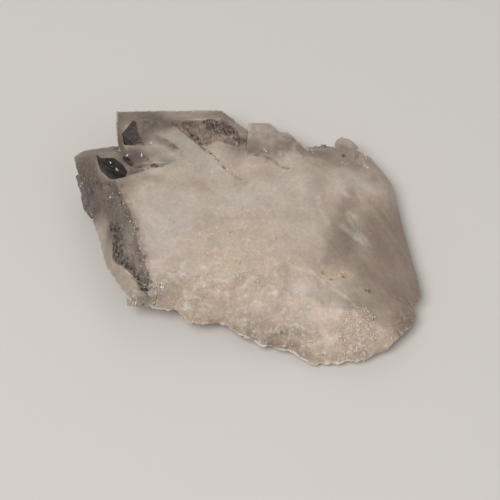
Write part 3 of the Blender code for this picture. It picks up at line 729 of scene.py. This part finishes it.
def blade_finishes(points, soft, near, tiny, drift, bar):
    """How clear, how dark and how brown the blades are, from their strip, patches and soft spots."""
    x, y = points[:, 0], points[:, 1]
    strip = ramp(polygon_depth(near, STRIP), -0.1, 0.25)
    inner = ramp(x + 0.42 * y + 0.6 * drift, -22.6, -20.6)
    dark_side = ramp(line_distance(near, STRIP_DARK_SIDE) + 0.6 * tiny, 3.2, 0.7)
    dark_side *= 1.0 - 0.5 * ramp(y, -4.0, 0.0)
    black = ramp(polygon_depth(near, BLACK_PATCH) + 0.4 * tiny + 0.2 * drift, 0.0, 0.4)
    brown = ramp(polygon_depth(near, *BROWN_PATCHES) + 0.35 * tiny, -0.15, 0.2)
    brownish = ramp(polygon_depth(near, BROWN_PART) + 0.3 * tiny, 0.0, 0.5)
    clear = np.maximum.reduce([
        strip * (0.5 + 0.15 * drift + 0.15 * dark_side) * (1.0 - 0.35 * inner),
        spots(soft, CLEAR_SPOTS) * (1.0 - 0.3 * tiny) * (1.0 - 0.8 * bar),
        black * (0.45 + 0.2 * tiny),
        brown * 0.6,
        brownish * 0.35,
    ]) * (1.0 - spots(near, HAZE_SPOTS))
    dark = np.maximum.reduce([dark_side * strip, black, 0.55 * brown])
    return clear, dark, np.maximum(brown, 0.75 * brownish)


def rim_lines(points, close, up, body, steps):
    """Distance in millimetres to the white lines along the rims and between faces.

    On the body they are only at its front, and finer on its upright faces. The step blades'
    bevels are close to a line all over, which paints on them a highlight of light from behind, and the left
    blade's tip has none.
    """
    x, y = points[:, 0], points[:, 1]
    unworn = np.maximum(ramp(y, -17.0, -14.0), ramp(x, 25.0, 29.0))
    edge_on = ramp(np.abs(up + 0.05), 0.55, 0.15)
    rim = (0.6 - 0.25 * ramp(y, 18.0, 22.0)) * rim_distance(points) + 0.8 * spots(points, TIP_SPOTS)
    rim += body * (0.08 + 0.5 * unworn - 0.3 * edge_on * (1.0 - unworn))
    rim = np.minimum(rim, 0.4 - 0.5 * spots(points, LUMPS))
    # painted highlight: the step blades' bevels are whitened all over, for the light from behind
    rim = np.where(steps > 0.5, np.minimum(rim, 0.1 + 0.8 * ramp(up, 0.75, 0.95)), rim)
    return np.minimum(rim, line_distance(close, *BRIGHT_LINES) + 0.19 + 0.3 * (1.0 - ramp(up, 0.55, 0.85)))


def slab_zones(points, normals, crystal):
    """How far each finish reaches at each point of the slab, from 0 to 1, as named arrays.

    The window and the rim are distances in millimetres instead, so that their sides stay crisp
    between the points. The soft patches are read at places pushed about by smooth noise.
    """
    x, y, z = points.T
    up = normals[:, 2]
    wide, fine = (
        np.stack([clouds(points, size, 31 + k), clouds(points, size, 57 + k), np.zeros(len(x))], axis=-1)
        for size, k in ((5.0, 0), (1.5, 2))
    )
    tiny = clouds(points, 0.7, 71)
    mottled = clouds(points, 0.9, 95) + 0.5 * tiny
    soft = points + wide * 1.2 + fine * 0.5
    near = points + wide * 0.2 + fine * 0.25
    halfway = soft * 0.4 + points * 0.6
    close = near * 0.6 + points * 0.4
    drift = fine[:, 0]
    # healed cracks run down to the right, 1 mm wide and 6 mm long
    slanted = np.stack([x * 0.83 + y * 0.55, (x * 0.55 - y * 0.83) / 6.0, z / 3.0], axis=-1)
    streaks = 0.6 * clouds(slanted, 1.0, 83) + 0.4 * clouds(slanted, 0.45, 84)
    body, steps, knob, splinters = (
        np.isin(crystal, [NUMBERS[name] for name in names]) * 1.0
        for names in (("body",), ("back_step_blade", "second_step_blade"), ("knob_crystal",), ("splinter",))
    )
    upper = ramp(up, 0.55, 0.85)
    facing = ramp(up, 0.05, 0.3)
    bar = ramp(polygon_depth(points + fine * 0.12, BAR), -0.05, 0.25) * ramp(x + drift, -19.0, -13.5)
    along_bar = bar * ramp(x - y, -36.0, -29.0)
    slope = ramp(polygon_depth(points + fine * 0.2, SLOPE), -0.2, 0.3)
    rosy = slope * (0.3 + 0.7 * ramp(x, 6.0, 15.0))

    # clear, dark and brown parts of the blades
    clear, dark, brown = blade_finishes(points, soft, near, tiny, drift, bar)
    dark = np.maximum(dark, splinters * (0.5 + 0.5 * mottled))
    edging = ramp(line_distance(near, BORDER), 1.3, 0.2) * ramp(clouds(points, 0.55, 96), 0.35, 0.6)
    dots = ramp(spots(near, DARK_SPOTS) * (1.0 + 0.5 * tiny), 0.2, 0.45)

    # grey and smoky parts, with painted shade low along the front and along the lower left side of the bar
    border = body * ramp(polygon_depth(halfway, STRIP) + 0.9 * tiny, -1.3, 0.3)
    # painted shade: the body's front grows darker downwards, towards the floor
    foot = body * ramp(-y, 11.0, 15.0) * ramp(z, 7.5, 1.5) * (0.7 - 0.35 * ramp(x, 8.0, 16.0))
    grey = spots(soft, GREY_SPOTS) * (1.0 - 0.3 * streaks) * np.maximum(facing, body)
    grey *= (1.0 - slope) * (1.0 - bar)
    grey = np.maximum.reduce([
        grey * (1.0 + 0.6 * steps * mottled),
        foot * (1.0 + 0.4 * drift + 0.7 * mottled),
        0.8 * border,
        0.6 * bar * ramp(x + fine[:, 1], -3.0, -13.0),
    ])
    smoky = spots(soft * 0.6 + points * 0.4, SMOKY_SPOTS) * (1.0 - 0.9 * rosy * ramp(x, 10.0, 15.0))
    smoky = np.maximum.reduce([
        smoky * facing * (1.0 - body * 0.5) * (1.0 - 0.85 * along_bar),
        # the first dull line and the bar's shade line paint the shade along the bar's lower left side
        0.75 * ramp(line_distance(near, *DULL_LINES), 0.36, 0.05) * ramp(mottled, -0.4, 0.5) * upper,
        0.55 * ramp(line_distance(near, BAR_SHADE), 1.2, 0.2),
        np.maximum(0.2 * steps, 0.3 * border) * ramp(mottled, 0.1, 0.9),
    ])

    # stains, wisps, and the sugary zone with its crumbly front edge
    seam = ramp(line_distance(near * 0.7 + points * 0.3, SEAM), 0.26, 0.05)
    seam *= 0.7 + 0.4 * clouds(points, 1.2, 91) + 0.4 * ramp(y, 15.0, 18.0)
    stains = np.maximum(
        0.6 * spots(near + fine * 0.3, STAIN_SPOTS) * ramp(tiny, -0.6, 0.5),
        0.7 * ramp(line_distance(close, *STAIN_LINES), 0.7, 0.1) * ramp(clouds(points, 0.7, 93), -0.5, 0.5),
    )
    wisps = ramp(line_distance(halfway, *WISPS), 1.1, 0.0) * upper * (0.6 + 0.9 * streaks + 0.4 * fine[:, 1])
    wisps = np.maximum(wisps, 0.7 * knob * ramp(y + 0.5 * tiny, 17.0, 19.0))
    tan = spots(soft, TAN_SPOTS)
    front_edge = 1.1 * ramp(-y, 14.0, 17.0) * ramp(z, 7.5, 3.5)

    # the lower part of the left blade's outer bevel is nearly as pale as the body
    pale = ramp(-y, -5.0, 2.0) * ramp(-x, 14.0, 18.0)
    return {
        "window": np.where(upper > 0.5, polygon_depth(points, *WINDOWS), -2.0),
        "clear": np.clip(clear, 0.0, 1.0) * facing * (1.0 - body),
        "dark": np.clip(np.maximum.reduce([dark * (1.0 - body), dots, 0.7 * edging]), 0.0, 1.0) * facing,
        "brown": np.maximum(brown * (1.0 - body), seam) * upper,
        "tan": tan,
        "white": np.maximum(spots(soft, WHITE_SPOTS), bar * 0.6),
        "grey": np.clip(grey, 0.0, 1.0),
        "smoky": smoky,
        "cool": 0.16 * along_bar + spots(soft, COOL_SPOTS),
        "veil": np.maximum(0.16, spots(points + fine * 0.3, VEIL_SPOTS)),
        "slope": rosy,
        "wisp": np.clip(wisps, 0.0, 1.0),
        "stain": stains,
        "sugar": sugar_at(points) * body,
        "crackle": body * np.maximum(tan * (1.0 - 0.6 * slope) * (0.75 + 0.5 * drift), front_edge),
        "rim": rim_lines(points, close, up, body, steps),
        "frost": (1.0 - body) * ramp(up, 0.97, 0.8) * (1.0 - 0.6 * pale),
    }


def write_zones(mesh):
    """Works out the zones at the mesh's points, keeps each as an attribute and gives their names."""
    crystal = np.zeros(len(mesh.vertices))
    marks = read(mesh.attributes["crystal"].data, "value")
    sizes = read(mesh.polygons, "loop_total", kind=np.int32)
    crystal[read(mesh.loops, "vertex_index", kind=np.int32)] = np.repeat(marks, sizes)
    zones = slab_zones(read(mesh.vertices, "co", 3) / MM, read(mesh.vertices, "normal", 3), crystal)
    for name, values in zones.items():
        mesh.attributes.new(name, "FLOAT", "POINT").data.foreach_set("value", values.astype(np.float32))
    return list(zones)


# Sugary grains

def grain_template():
    """A double-ended six-sided crystal, 2 long and 1 wide: a ring and two tips, as points and triangles."""
    turn = np.arange(6) * np.pi / 3.0
    ring = np.stack([0.5 * np.cos(turn), 0.5 * np.sin(turn), np.zeros(6)], axis=-1)
    here, there = np.arange(6), (np.arange(6) + 1) % 6
    faces = [
        np.stack([here, there, np.full(6, 6)], axis=-1),
        np.stack([there, here, np.full(6, 7)], axis=-1),
    ]
    return np.concatenate([ring, [[0.0, 0.0, 1.0], [0.0, 0.0, -1.0]]]), np.concatenate(faces)


def scatter(name, mesh, weights, count, size, seed):
    """Grains on faces of a mesh that are drawn by area times weight, each turned about its face's normal.

    Every grain is the template scaled along and across, leaned and put in place, all as whole arrays.
    """
    draw = np.random.default_rng(seed)
    normals = read(mesh.polygons, "normal", 3)
    middles = read(mesh.polygons, "center", 3) / MM
    chance = read(mesh.polygons, "area") * weights(middles, normals)
    if chance.sum() <= 0.0:
        raise RuntimeError("there is no face for the grains")
    picked = draw.choice(len(chance), count, p=chance / chance.sum())
    grown = np.minimum(np.exp(draw.normal(0.0, 0.5, count)), 2.0) * size
    up = normals[picked] + draw.normal(0.0, 0.55, (count, 3))
    up /= np.linalg.norm(up, axis=1, keepdims=True)
    side = np.cross(up, draw.normal(0.0, 1.0, (count, 3)))
    side /= np.linalg.norm(side, axis=1, keepdims=True)
    scales = [grown * draw.uniform(*span, count) for span in ((0.7, 1.2), (0.45, 1.0), (0.4, 1.0))]
    points, faces = grain_template()
    placed = (middles[picked] + draw.normal(0.0, 0.12, (count, 3)))[:, None]
    for number, (axis, scale) in enumerate(zip((side, np.cross(up, side), up), scales)):
        placed = placed + points[:, number, None] * (axis * scale[:, None])[:, None]
    placed[..., 2] = np.clip(placed[..., 2], *GRAIN_HEIGHTS)
    corners = faces[None] + (np.arange(count) * len(points))[:, None, None]
    return put_mesh(name, placed.reshape(-1, 3), np.empty((0, 4), int), corners.reshape(-1, 3))


def clumps(points, size, seed):
    """Chance of a grain where grains grow in clumps: 0 between them, 1 in their middles."""
    return ramp(clouds(points, size, seed) + 0.4 * clouds(points, size / 2.5, seed + 1), -0.1, 0.5)


def druse_weight(middles, normals):
    """Chance of a sugary grain: high in the patch at the right of the front slope, low on the rest."""
    slope = ramp(polygon_depth(middles, SLOPE), -0.3, 1.0) * ramp(middles[:, 0], 0.0, 14.0)
    chance = (0.02 * slope + spots(middles, DRUSE_SPOTS)) * clumps(middles, 0.6, 97)
    return chance * ramp(normals[:, 2], -0.2, 0.2)


def chip_weight(middles, normals):
    """Chance of a clear chip: high on the crushed corner and at lone crystals, low at other broken places."""
    return np.maximum.reduce([
        spots(middles, CHIP_SPOTS) * clumps(middles, 0.7, 98),
        spots(middles, [(x, y, 0.3, 0.26, 1.0) for x, y in SPARKLES]),
        0.5 * ramp(line_distance(middles, CRUMBS[:2]), 0.35, 0.05),
        0.12 * ramp(line_distance(middles, BORDER), 0.9, 0.1) * clumps(middles, 0.7, 94),
    ]) * ramp(normals[:, 2], -0.5, 0.1)


def stain_weight(middles, normals):
    """Chance of an iron-stained grain: high in the stained spots and along the seam's crumbs."""
    stains = np.maximum.reduce([
        spots(middles, STAIN_SPOTS) ** 2,
        0.5 * ramp(line_distance(middles, CRUMBS[1:]), 0.4, 0.1),
        0.5 * ramp(line_distance(middles, STAIN_LINES[0]), 0.5, 0.1),
    ]) * clumps(middles, 0.6, 99)
    return (stains + 0.001 * spots(middles, TAN_SPOTS)) * ramp(normals[:, 2], 0.0, 0.3)


# Materials. A pattern's scale is cells per millimetre over MM, or 1 over a cell's width.

def give(tree, node, values):
    """Links each input that is given a node's output, and sets the others to their values."""
    for name, value in values.items():
        if isinstance(value, bpy.types.NodeSocket):
            tree.links.new(value, node.inputs[name])
        else:
            node.inputs[name].default_value = value


def add(tree, kind, *values, out=0, **named):
    """Adds a node and gives one of its outputs. A kind in capitals is an operation of the Math node.

    The values go to the inputs in their order, and each named one is an input or a setting.
    """
    if kind.isupper():
        kind, named["operation"] = "Math", kind
    node = tree.nodes.new("ShaderNode" + kind)
    for name in [name for name in named if name not in node.inputs]:
        setattr(node, name, named.pop(name))
    in_order = [number for number, socket in enumerate(node.inputs) if socket.enabled]
    give(tree, node, {**dict(zip(in_order, values)), **named})
    return [socket for socket in node.outputs if socket.enabled and out in (socket.name, 0)][0]


def new_material(name):
    """A new material, its node tree and its shader."""
    material = bpy.data.materials.new(name)
    material.use_nodes = True
    return material, material.node_tree, material.node_tree.nodes["Principled BSDF"]


def speck_layers(node, place, zone):
    """Specks of the sugary zone, then pale flecks of the dark and brown parts: share and colour of each kind.

    A Voronoi cell holds one round speck, or none. The cells' places are pushed about by fine
    noise, which makes the specks ragged.
    """
    pushed = node("TexNoise", place, 3.0 / MM, 1.0, out="Color")
    pushed = node("VectorMath", pushed, (0.8 * MM,) * 3, place, operation="MULTIPLY_ADD")
    speckled = node("MapRange", zone["crackle"], 0.0, 0.7, 0.4)
    layers = []
    # cell in mm, radius as a share of the cell, share of cells that hold a speck, colour, strength
    for cell, reach, share, tint, strength in (
        (1.9, 0.12, 0.4, "speck", 0.65),
        (2.8, 0.11, 0.35, "rust", 0.7),
        # white specks: partly painted sparkle, partly tiny fractures
        (1.5, 0.13, 0.3, "spark", 0.75),
    ):
        dot = node("TexVoronoi", pushed, 1.0 / (cell * MM))
        pick = node("LESS_THAN", node("SeparateColor", dot.node.outputs["Color"]), share)
        dot = node("MULTIPLY", node("MapRange", dot, reach, reach * 0.5, 0.0, strength), pick)
        layers.append((node("MULTIPLY", dot, speckled), tint))
    # flecks 0.2 mm wide
    dot = node("TexVoronoi", pushed, 3.3 / MM)
    pick = node("SeparateColor", dot.node.outputs["Color"], out="Green")
    fleck = node("MULTIPLY", node("MAXIMUM", zone["dark"], zone["brown"]), node("MapRange", dot, 0.44, 0.2))
    layers.append((node("MULTIPLY", fleck, node("MapRange", pick, 0.38, 0.22)), "milk_deep"))
    return layers


def crack_layers(node, place, zone, small):
    """Curved cracks where a noise is near its middle, broken by a finer one: share and colour of each."""
    broken = node("MapRange", small, 0.47, 0.57)
    layers = []
    # width of the noise in mm, colour, strength, half the crack's width as a share of the noise, zone
    for size, tint, strength, reach, name in (
        (2.4, "speck", 0.6, 0.03, "crackle"),
        (1.4, "rust", 0.7, 0.03, "crackle"),
        (1.8, "spark", 0.5, 0.03, "crackle"),
        (2.0, "milk_deep", 1.0, 0.07, "clear"),
    ):
        crack = node("TexNoise", place, 1.0 / (size * MM), 3.0, Distortion=0.8)
        crack = node("ABSOLUTE", node("SUBTRACT", crack, 0.5))
        crack = node("MULTIPLY", node("MapRange", crack, reach, 0.008, 0.0, strength), broken)
        layers.append((node("MULTIPLY", crack, zone[name]), tint))
    return layers


def mottle(node, place, colour, factors):
    """The colour, lighter or darker by each factor, and rosy or creamy in clouds of 3 mm."""
    light, *others = factors
    for other in others:
        light = node("MULTIPLY", light, other)
    hue = node("MapRange", node("TexNoise", place, 0.33 / MM, 2.0), 0.42, 0.58)
    hue = node("Mix", hue, (1.0, 0.98, 0.98, 1.0), (0.965, 0.99, 0.955, 1.0), data_type="RGBA")
    colour = node("VectorMath", colour, light, operation="MULTIPLY")
    return node("VectorMath", colour, hue, operation="MULTIPLY")


def lean(node, cells):
    """The surface's normal, leaned by each cell's own colour times the strength that goes with the cells."""
    leans = []
    for cell, strength in cells:
        centred = node("VectorMath", cell, (0.5,) * 3, operation="SUBTRACT")
        leans.append(node("VectorMath", centred, strength, operation="SCALE"))
    tilt = node("VectorMath", *leans, operation="ADD")
    tilt = node("VectorMath", node("NewGeometry", out="Normal"), tilt, operation="ADD")
    return node("VectorMath", tilt, operation="NORMALIZE")


def vein_quartz(colours, zones):
    """Milky quartz with clear blades: cloudy and waxy where it holds tiny bubbles, glassy in its windows."""
    material, tree, shader = new_material("milky_vein_quartz")
    node = partial(add, tree)
    place = node("TexCoord", out="Object")
    zone = {name: node("Attribute", attribute_name=name, out="Fac") for name in zones}
    # clouds of 4 mm, 0.8 mm and 0.25 mm
    broad, small, grain = (node("TexNoise", place, 1.0 / (size * MM), 4.0) for size in (4.0, 0.8, 0.25))
    cloudy = node("MapRange", broad, 0.36, 0.64)
    # streaks along the blades' length, 0.35 mm wide, veil the windows and break up the dark parts
    streak = node("TexNoise", node("Mapping", place, Scale=(1.0, 0.35, 1.0)), 2.9 / MM, 4.0)
    edge = node("MapRange", zone["window"], -0.06, 0.06)
    edge = node("MULTIPLY", edge, node("MapRange", zone["veil"], 1.0, 0.8))
    veil = node("MULTIPLY", node("MapRange", streak, 0.35, 0.65, 0.5, 1.2), zone["veil"], use_clamp=True)
    ragged = node("SUBTRACT", node("ADD", small, streak), 1.0)
    ragged = node("MULTIPLY", node("MULTIPLY_ADD", ragged, 1.5, zone["clear"]), zone["clear"])
    clear = node("MULTIPLY", edge, node("SUBTRACT", 1.0, veil))
    clear = node("MAXIMUM", clear, ragged, use_clamp=True)
    flecks = node("MapRange", streak, 0.38, 0.62, 0.35, 1.1)
    # the colours that lie over the milk, each with its share, lowest first
    layers = [(zone[name], name) for name in ("tan", "white", "slope", "grey", "frost", "cool")]
    layers += [(zone["wisp"], "white"), (zone["smoky"], "smoky"), (zone["clear"], "smoke")]
    layers += [(node("MULTIPLY", zone["brown"], flecks), "brown")]
    layers += [(node("MULTIPLY", zone["dark"], flecks), "soot"), (edge, "window"), (zone["stain"], "rust")]
    specks = speck_layers(node, place, zone)
    # chipped, whitened rims about 0.15 mm wide; on the step blades' bevels and back edges this white is
    # painted highlight of light from behind
    worn = node("MapRange", node("MULTIPLY_ADD", small, -0.5, zone["rim"]), 0.04, -0.16, 0.0, 0.75)
    layers += specks + crack_layers(node, place, zone, small) + [(worn, "rim")]
    # the white specks, the pale flecks and the rims aren't clear
    for share in (specks[-2][0], specks[-1][0], worn):
        clear = node("SUBTRACT", clear, share, use_clamp=True)
    colour = node("Mix", cloudy, colours.milk, colours.milk_deep, data_type="RGBA")
    for share, tint in layers:
        colour = node("Mix", share, colour, getattr(colours, tint), data_type="RGBA")
    # broken faces of 1.7 mm, each a little lighter or darker, across the sugary zone
    chips = node("TexNoise", place, 0.5 / MM, 2.0, out="Color")
    chips = node("VectorMath", chips, (1.6 * MM,) * 3, place, operation="MULTIPLY_ADD")
    chips = node("TexVoronoi", chips, 0.6 / MM, out="Color")
    tone = node("SUBTRACT", node("SeparateColor", chips, out="Green"), 0.5)
    tone = node("MULTIPLY_ADD", node("MULTIPLY", tone, zone["crackle"]), 0.09, 1.0)
    colour = mottle(node, place, colour, (
        node("MapRange", small, 0.3, 0.7, 0.9, 1.06),
        tone,
        node("MapRange", grain, 0.3, 0.7, 0.91, 1.09),
        node("MapRange", cloudy, 0.0, 1.0, 1.05, 0.95),
    ))
    # each sugary grain of 0.5 mm is a small face of its own, one in four of them glassy
    sugar = node("TexVoronoi", place, 1.0 / (0.5 * MM), out="Color")
    glassy = node("MULTIPLY", node("LESS_THAN", node("SeparateColor", sugar), 0.25), zone["sugar"])
    rough = node("MULTIPLY_ADD", grain, 0.25, node("MapRange", clear, 0.0, 1.0, 0.44, 0.05))
    rough = node("MULTIPLY_ADD", glassy, -0.16, node("SUBTRACT", rough, 0.1), use_clamp=True)
    tilt = lean(node, (
        (sugar, node("MapRange", zone["sugar"], 0.25, 1.0, 0.0, 0.5)),
        (chips, node("MULTIPLY", zone["crackle"], 0.22)),
    ))
    height = node("MULTIPLY_ADD", grain, 0.4, small)
    give(tree, shader, {
        "Base Color": colour,
        "Transmission Weight": clear,
        "Roughness": rough,
        "Normal": node("Bump", Height=height, Distance=0.15 * MM, Strength=0.5, Normal=tilt),
        "IOR": QUARTZ_IOR,
        "Subsurface Weight": 0.5,
        "Subsurface Radius": (1.0, 0.85, 0.7),
        "Subsurface Scale": 2.0 * MM,
    })
    volume = node("VolumeAbsorption", colours.absorb, QUARTZ_DENSITY)
    give(tree, tree.nodes["Material Output"], {"Volume": volume})
    return material


def glassy_grain(name, tint):
    """Tiny broken crystals: clean glassy faces, cloudy inside, with a tint that varies between grains."""
    material, tree, shader = new_material(name)
    node = partial(add, tree)
    cells = node("TexVoronoi", node("TexCoord", out="Object"), 3.5 / MM, out="Color")
    pick = node("MapRange", node("SeparateColor", cells), 0.3, 0.7)
    dark, light = ([min(1.0, part * share) for part in tint[:3]] + [1.0] for share in (0.84, 1.08))
    give(tree, shader, {
        "Base Color": node("Mix", pick, dark, light, data_type="RGBA"),
        "Roughness": node("MapRange", pick, 0.0, 1.0, 0.08, 0.3),
        "IOR": QUARTZ_IOR,
    })
    return material


# The add-on

def label(name):
    """The words of a value's name, as the sidebar shows them."""
    return name.replace("_", " ").capitalize()


class QuartzSizes(bpy.types.PropertyGroup):
    """Sizes of the finished surface, and its numbers of rows and grains."""

    __annotations__ = {
        name: bpy.props.FloatProperty(
            name=label(name), description=note, default=size * MM, min=lowest * MM, unit="LENGTH", precision=5
        )
        for name, (size, lowest, note) in LENGTHS.items()
    } | {
        name: bpy.props.IntProperty(name=label(name), description=note, default=count, min=lowest)
        for name, (count, lowest, note) in COUNTS.items()
    }


class QuartzColours(bpy.types.PropertyGroup):
    """Colours of the quartz, its grains and the floor."""

    __annotations__ = {
        name: bpy.props.FloatVectorProperty(
            name=label(name), description=f"Colour of {what}", default=linear(code), size=4, min=0.0, max=1.0,
            subtype="COLOR",
        )
        for name, (code, what) in COLOURS.items()
    }


class QUARTZ_OT_slab(bpy.types.Operator):
    """Grows the slab: the body, the blades, the knob and the splinters, united into one piece."""

    bl_idname = "quartz.slab"
    bl_label = "Grow the Slab"

    def execute(self, context):
        group = context.scene.quartz_sizes
        sizes = {name: round(getattr(group, name) / MM, 6) for name in LENGTHS}
        sizes |= {name: getattr(group, name) for name in COUNTS}
        slab = closed_surface("quartz_slab", body_grid(sizes), NUMBERS["body"])
        others = []
        for name, spec in BLADES.items():
            grid = blade_grid(*spec, sizes["blade_step"], sizes["chip_depth"] * CHIPPED.get(name, 1.0))
            others.append(closed_surface(name, grid, NUMBERS[name]))
        draw = np.random.default_rng(RANDOM_SEED)
        for number in range(SPLINTER_COUNT):
            grid = splinter_grid(draw, (number + 0.5) / SPLINTER_COUNT)
            others.append(closed_surface(f"splinter_{number}", grid, NUMBERS["splinter"]))
        unite(slab, others)
        zones = write_zones(slab.data)
        slab.data.shade_smooth()
        slab.data.set_sharp_from_angle(angle=math.radians(SHARP_ANGLE))
        slab.data.materials.append(vein_quartz(context.scene.quartz_colours, zones))
        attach(slab, "root")
        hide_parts(NODE)
        return {"FINISHED"}


class QUARTZ_OT_grains(bpy.types.Operator):
    """Grows glassy sugar on the front slope and iron-stained grains in the yellow spots."""

    bl_idname = "quartz.grains"
    bl_label = "Grow the Grains"

    def execute(self, context):
        ground = bpy.data.objects["quartz_slab"].data
        count = context.scene.quartz_sizes.grain_count
        # name, where they grow, their number as a share of the sugary ones, mean size in mm, colour
        for name, weights, share, size, colour in (
            ("sugar_grains", druse_weight, 1.0, 0.19, "druse"),
            ("glassy_chips", chip_weight, 0.2, 0.17, "chip"),
            ("iron_stained_grains", stain_weight, 0.12, 0.22, "ochre"),
        ):
            grains = scatter(name, ground, weights, int(count * share), size, RANDOM_SEED + len(name))
            tint = getattr(context.scene.quartz_colours, colour)
            grains.data.materials.append(glassy_grain(f"{name}_of_quartz", tint))
            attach(grains, "root")
            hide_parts(NODE)
        return {"FINISHED"}


class QUARTZ_OT_stage(bpy.types.Operator):
    """Sets the pale floor, the soft studio lights and the camera."""

    bl_idname = "quartz.stage"
    bl_label = "Set the Stage"

    def execute(self, context):
        scene = context.scene
        bpy.ops.mesh.primitive_plane_add(size=FLOOR_SIZE)
        floor = context.object
        floor.name = "floor"
        material, tree, shader = new_material("matt_painted_board")
        give(tree, shader, {"Base Color": scene.quartz_colours.floor, "Roughness": 0.7})
        floor.data.materials.append(material)
        world = bpy.data.worlds.new("studio")
        world.use_nodes = True
        tree = world.node_tree
        give(tree, tree.nodes["Background"], {"Color": STUDIO_COLOUR, "Strength": STUDIO_STRENGTH})
        scene.world = world
        # name, place in m, size in m, power in W
        for name, place, size, power in (
            ("key", (-0.2, -0.25, 0.62), 0.35, 2.6),
            ("fill", (0.5, -0.2, 0.4), 0.5, 0.5),
            ("back", (0.05, 0.5, 0.4), 0.4, 0.5),
            ("spark", (-0.1, -0.3, 0.5), 0.02, 0.15),
        ):
            light = bpy.data.lights.new(name, "AREA")
            light.size = size
            light.energy = power
            lamp = bpy.data.objects.new(name, light)
            lamp.location = place
            lamp.rotation_euler = (-lamp.location).to_track_quat("-Z", "Y").to_euler()
            scene.collection.objects.link(lamp)
        camera = bpy.data.cameras.new("camera")
        camera.lens = CAMERA_LENS
        camera.clip_start = 0.01
        viewer = bpy.data.objects.new("camera", camera)
        tilt = math.radians(CAMERA_ELEVATION)
        x, y, z = CAMERA_TARGET
        viewer.location = (
            x * MM,
            (y - CAMERA_DISTANCE * math.cos(tilt)) * MM,
            (z + CAMERA_DISTANCE * math.sin(tilt)) * MM,
        )
        viewer.rotation_euler = (math.pi / 2.0 - tilt, 0.0, 0.0)
        scene.collection.objects.link(viewer)
        scene.camera = viewer
        scene.view_settings.view_transform = "Standard"
        return {"FINISHED"}


class QUARTZ_PT_panel(bpy.types.Panel):
    """Lists the slab's pieces and their sizes in the sidebar."""

    bl_idname = "QUARTZ_PT_panel"
    bl_label = "Sugar Blade Quartz"
    bl_space_type = "VIEW_3D"
    bl_region_type = "UI"
    bl_category = "Quartz"

    def draw(self, context):
        for group in (context.scene.quartz_sizes, context.scene.quartz_colours):
            for name in group.__annotations__:
                self.layout.prop(group, name)
        for kind in (QUARTZ_OT_slab, QUARTZ_OT_grains, QUARTZ_OT_stage):
            self.layout.operator(kind.bl_idname)


CLASSES = (QuartzSizes, QuartzColours, QUARTZ_OT_slab, QUARTZ_OT_grains, QUARTZ_OT_stage, QUARTZ_PT_panel)


def register():
    """Registers the classes and hangs the two groups of properties on the scene."""
    for kind in CLASSES:
        bpy.utils.register_class(kind)
    bpy.types.Scene.quartz_sizes = bpy.props.PointerProperty(type=QuartzSizes)
    bpy.types.Scene.quartz_colours = bpy.props.PointerProperty(type=QuartzColours)


def unregister():
    """Takes the properties and the classes away again."""
    del bpy.types.Scene.quartz_sizes
    del bpy.types.Scene.quartz_colours
    for kind in reversed(CLASSES):
        bpy.utils.unregister_class(kind)


def main():
    """Makes every piece and the stage."""
    register()
    bpy.ops.quartz.slab()
    bpy.ops.quartz.grains()
    bpy.ops.quartz.stage()


if __name__ == "__main__":
    main()
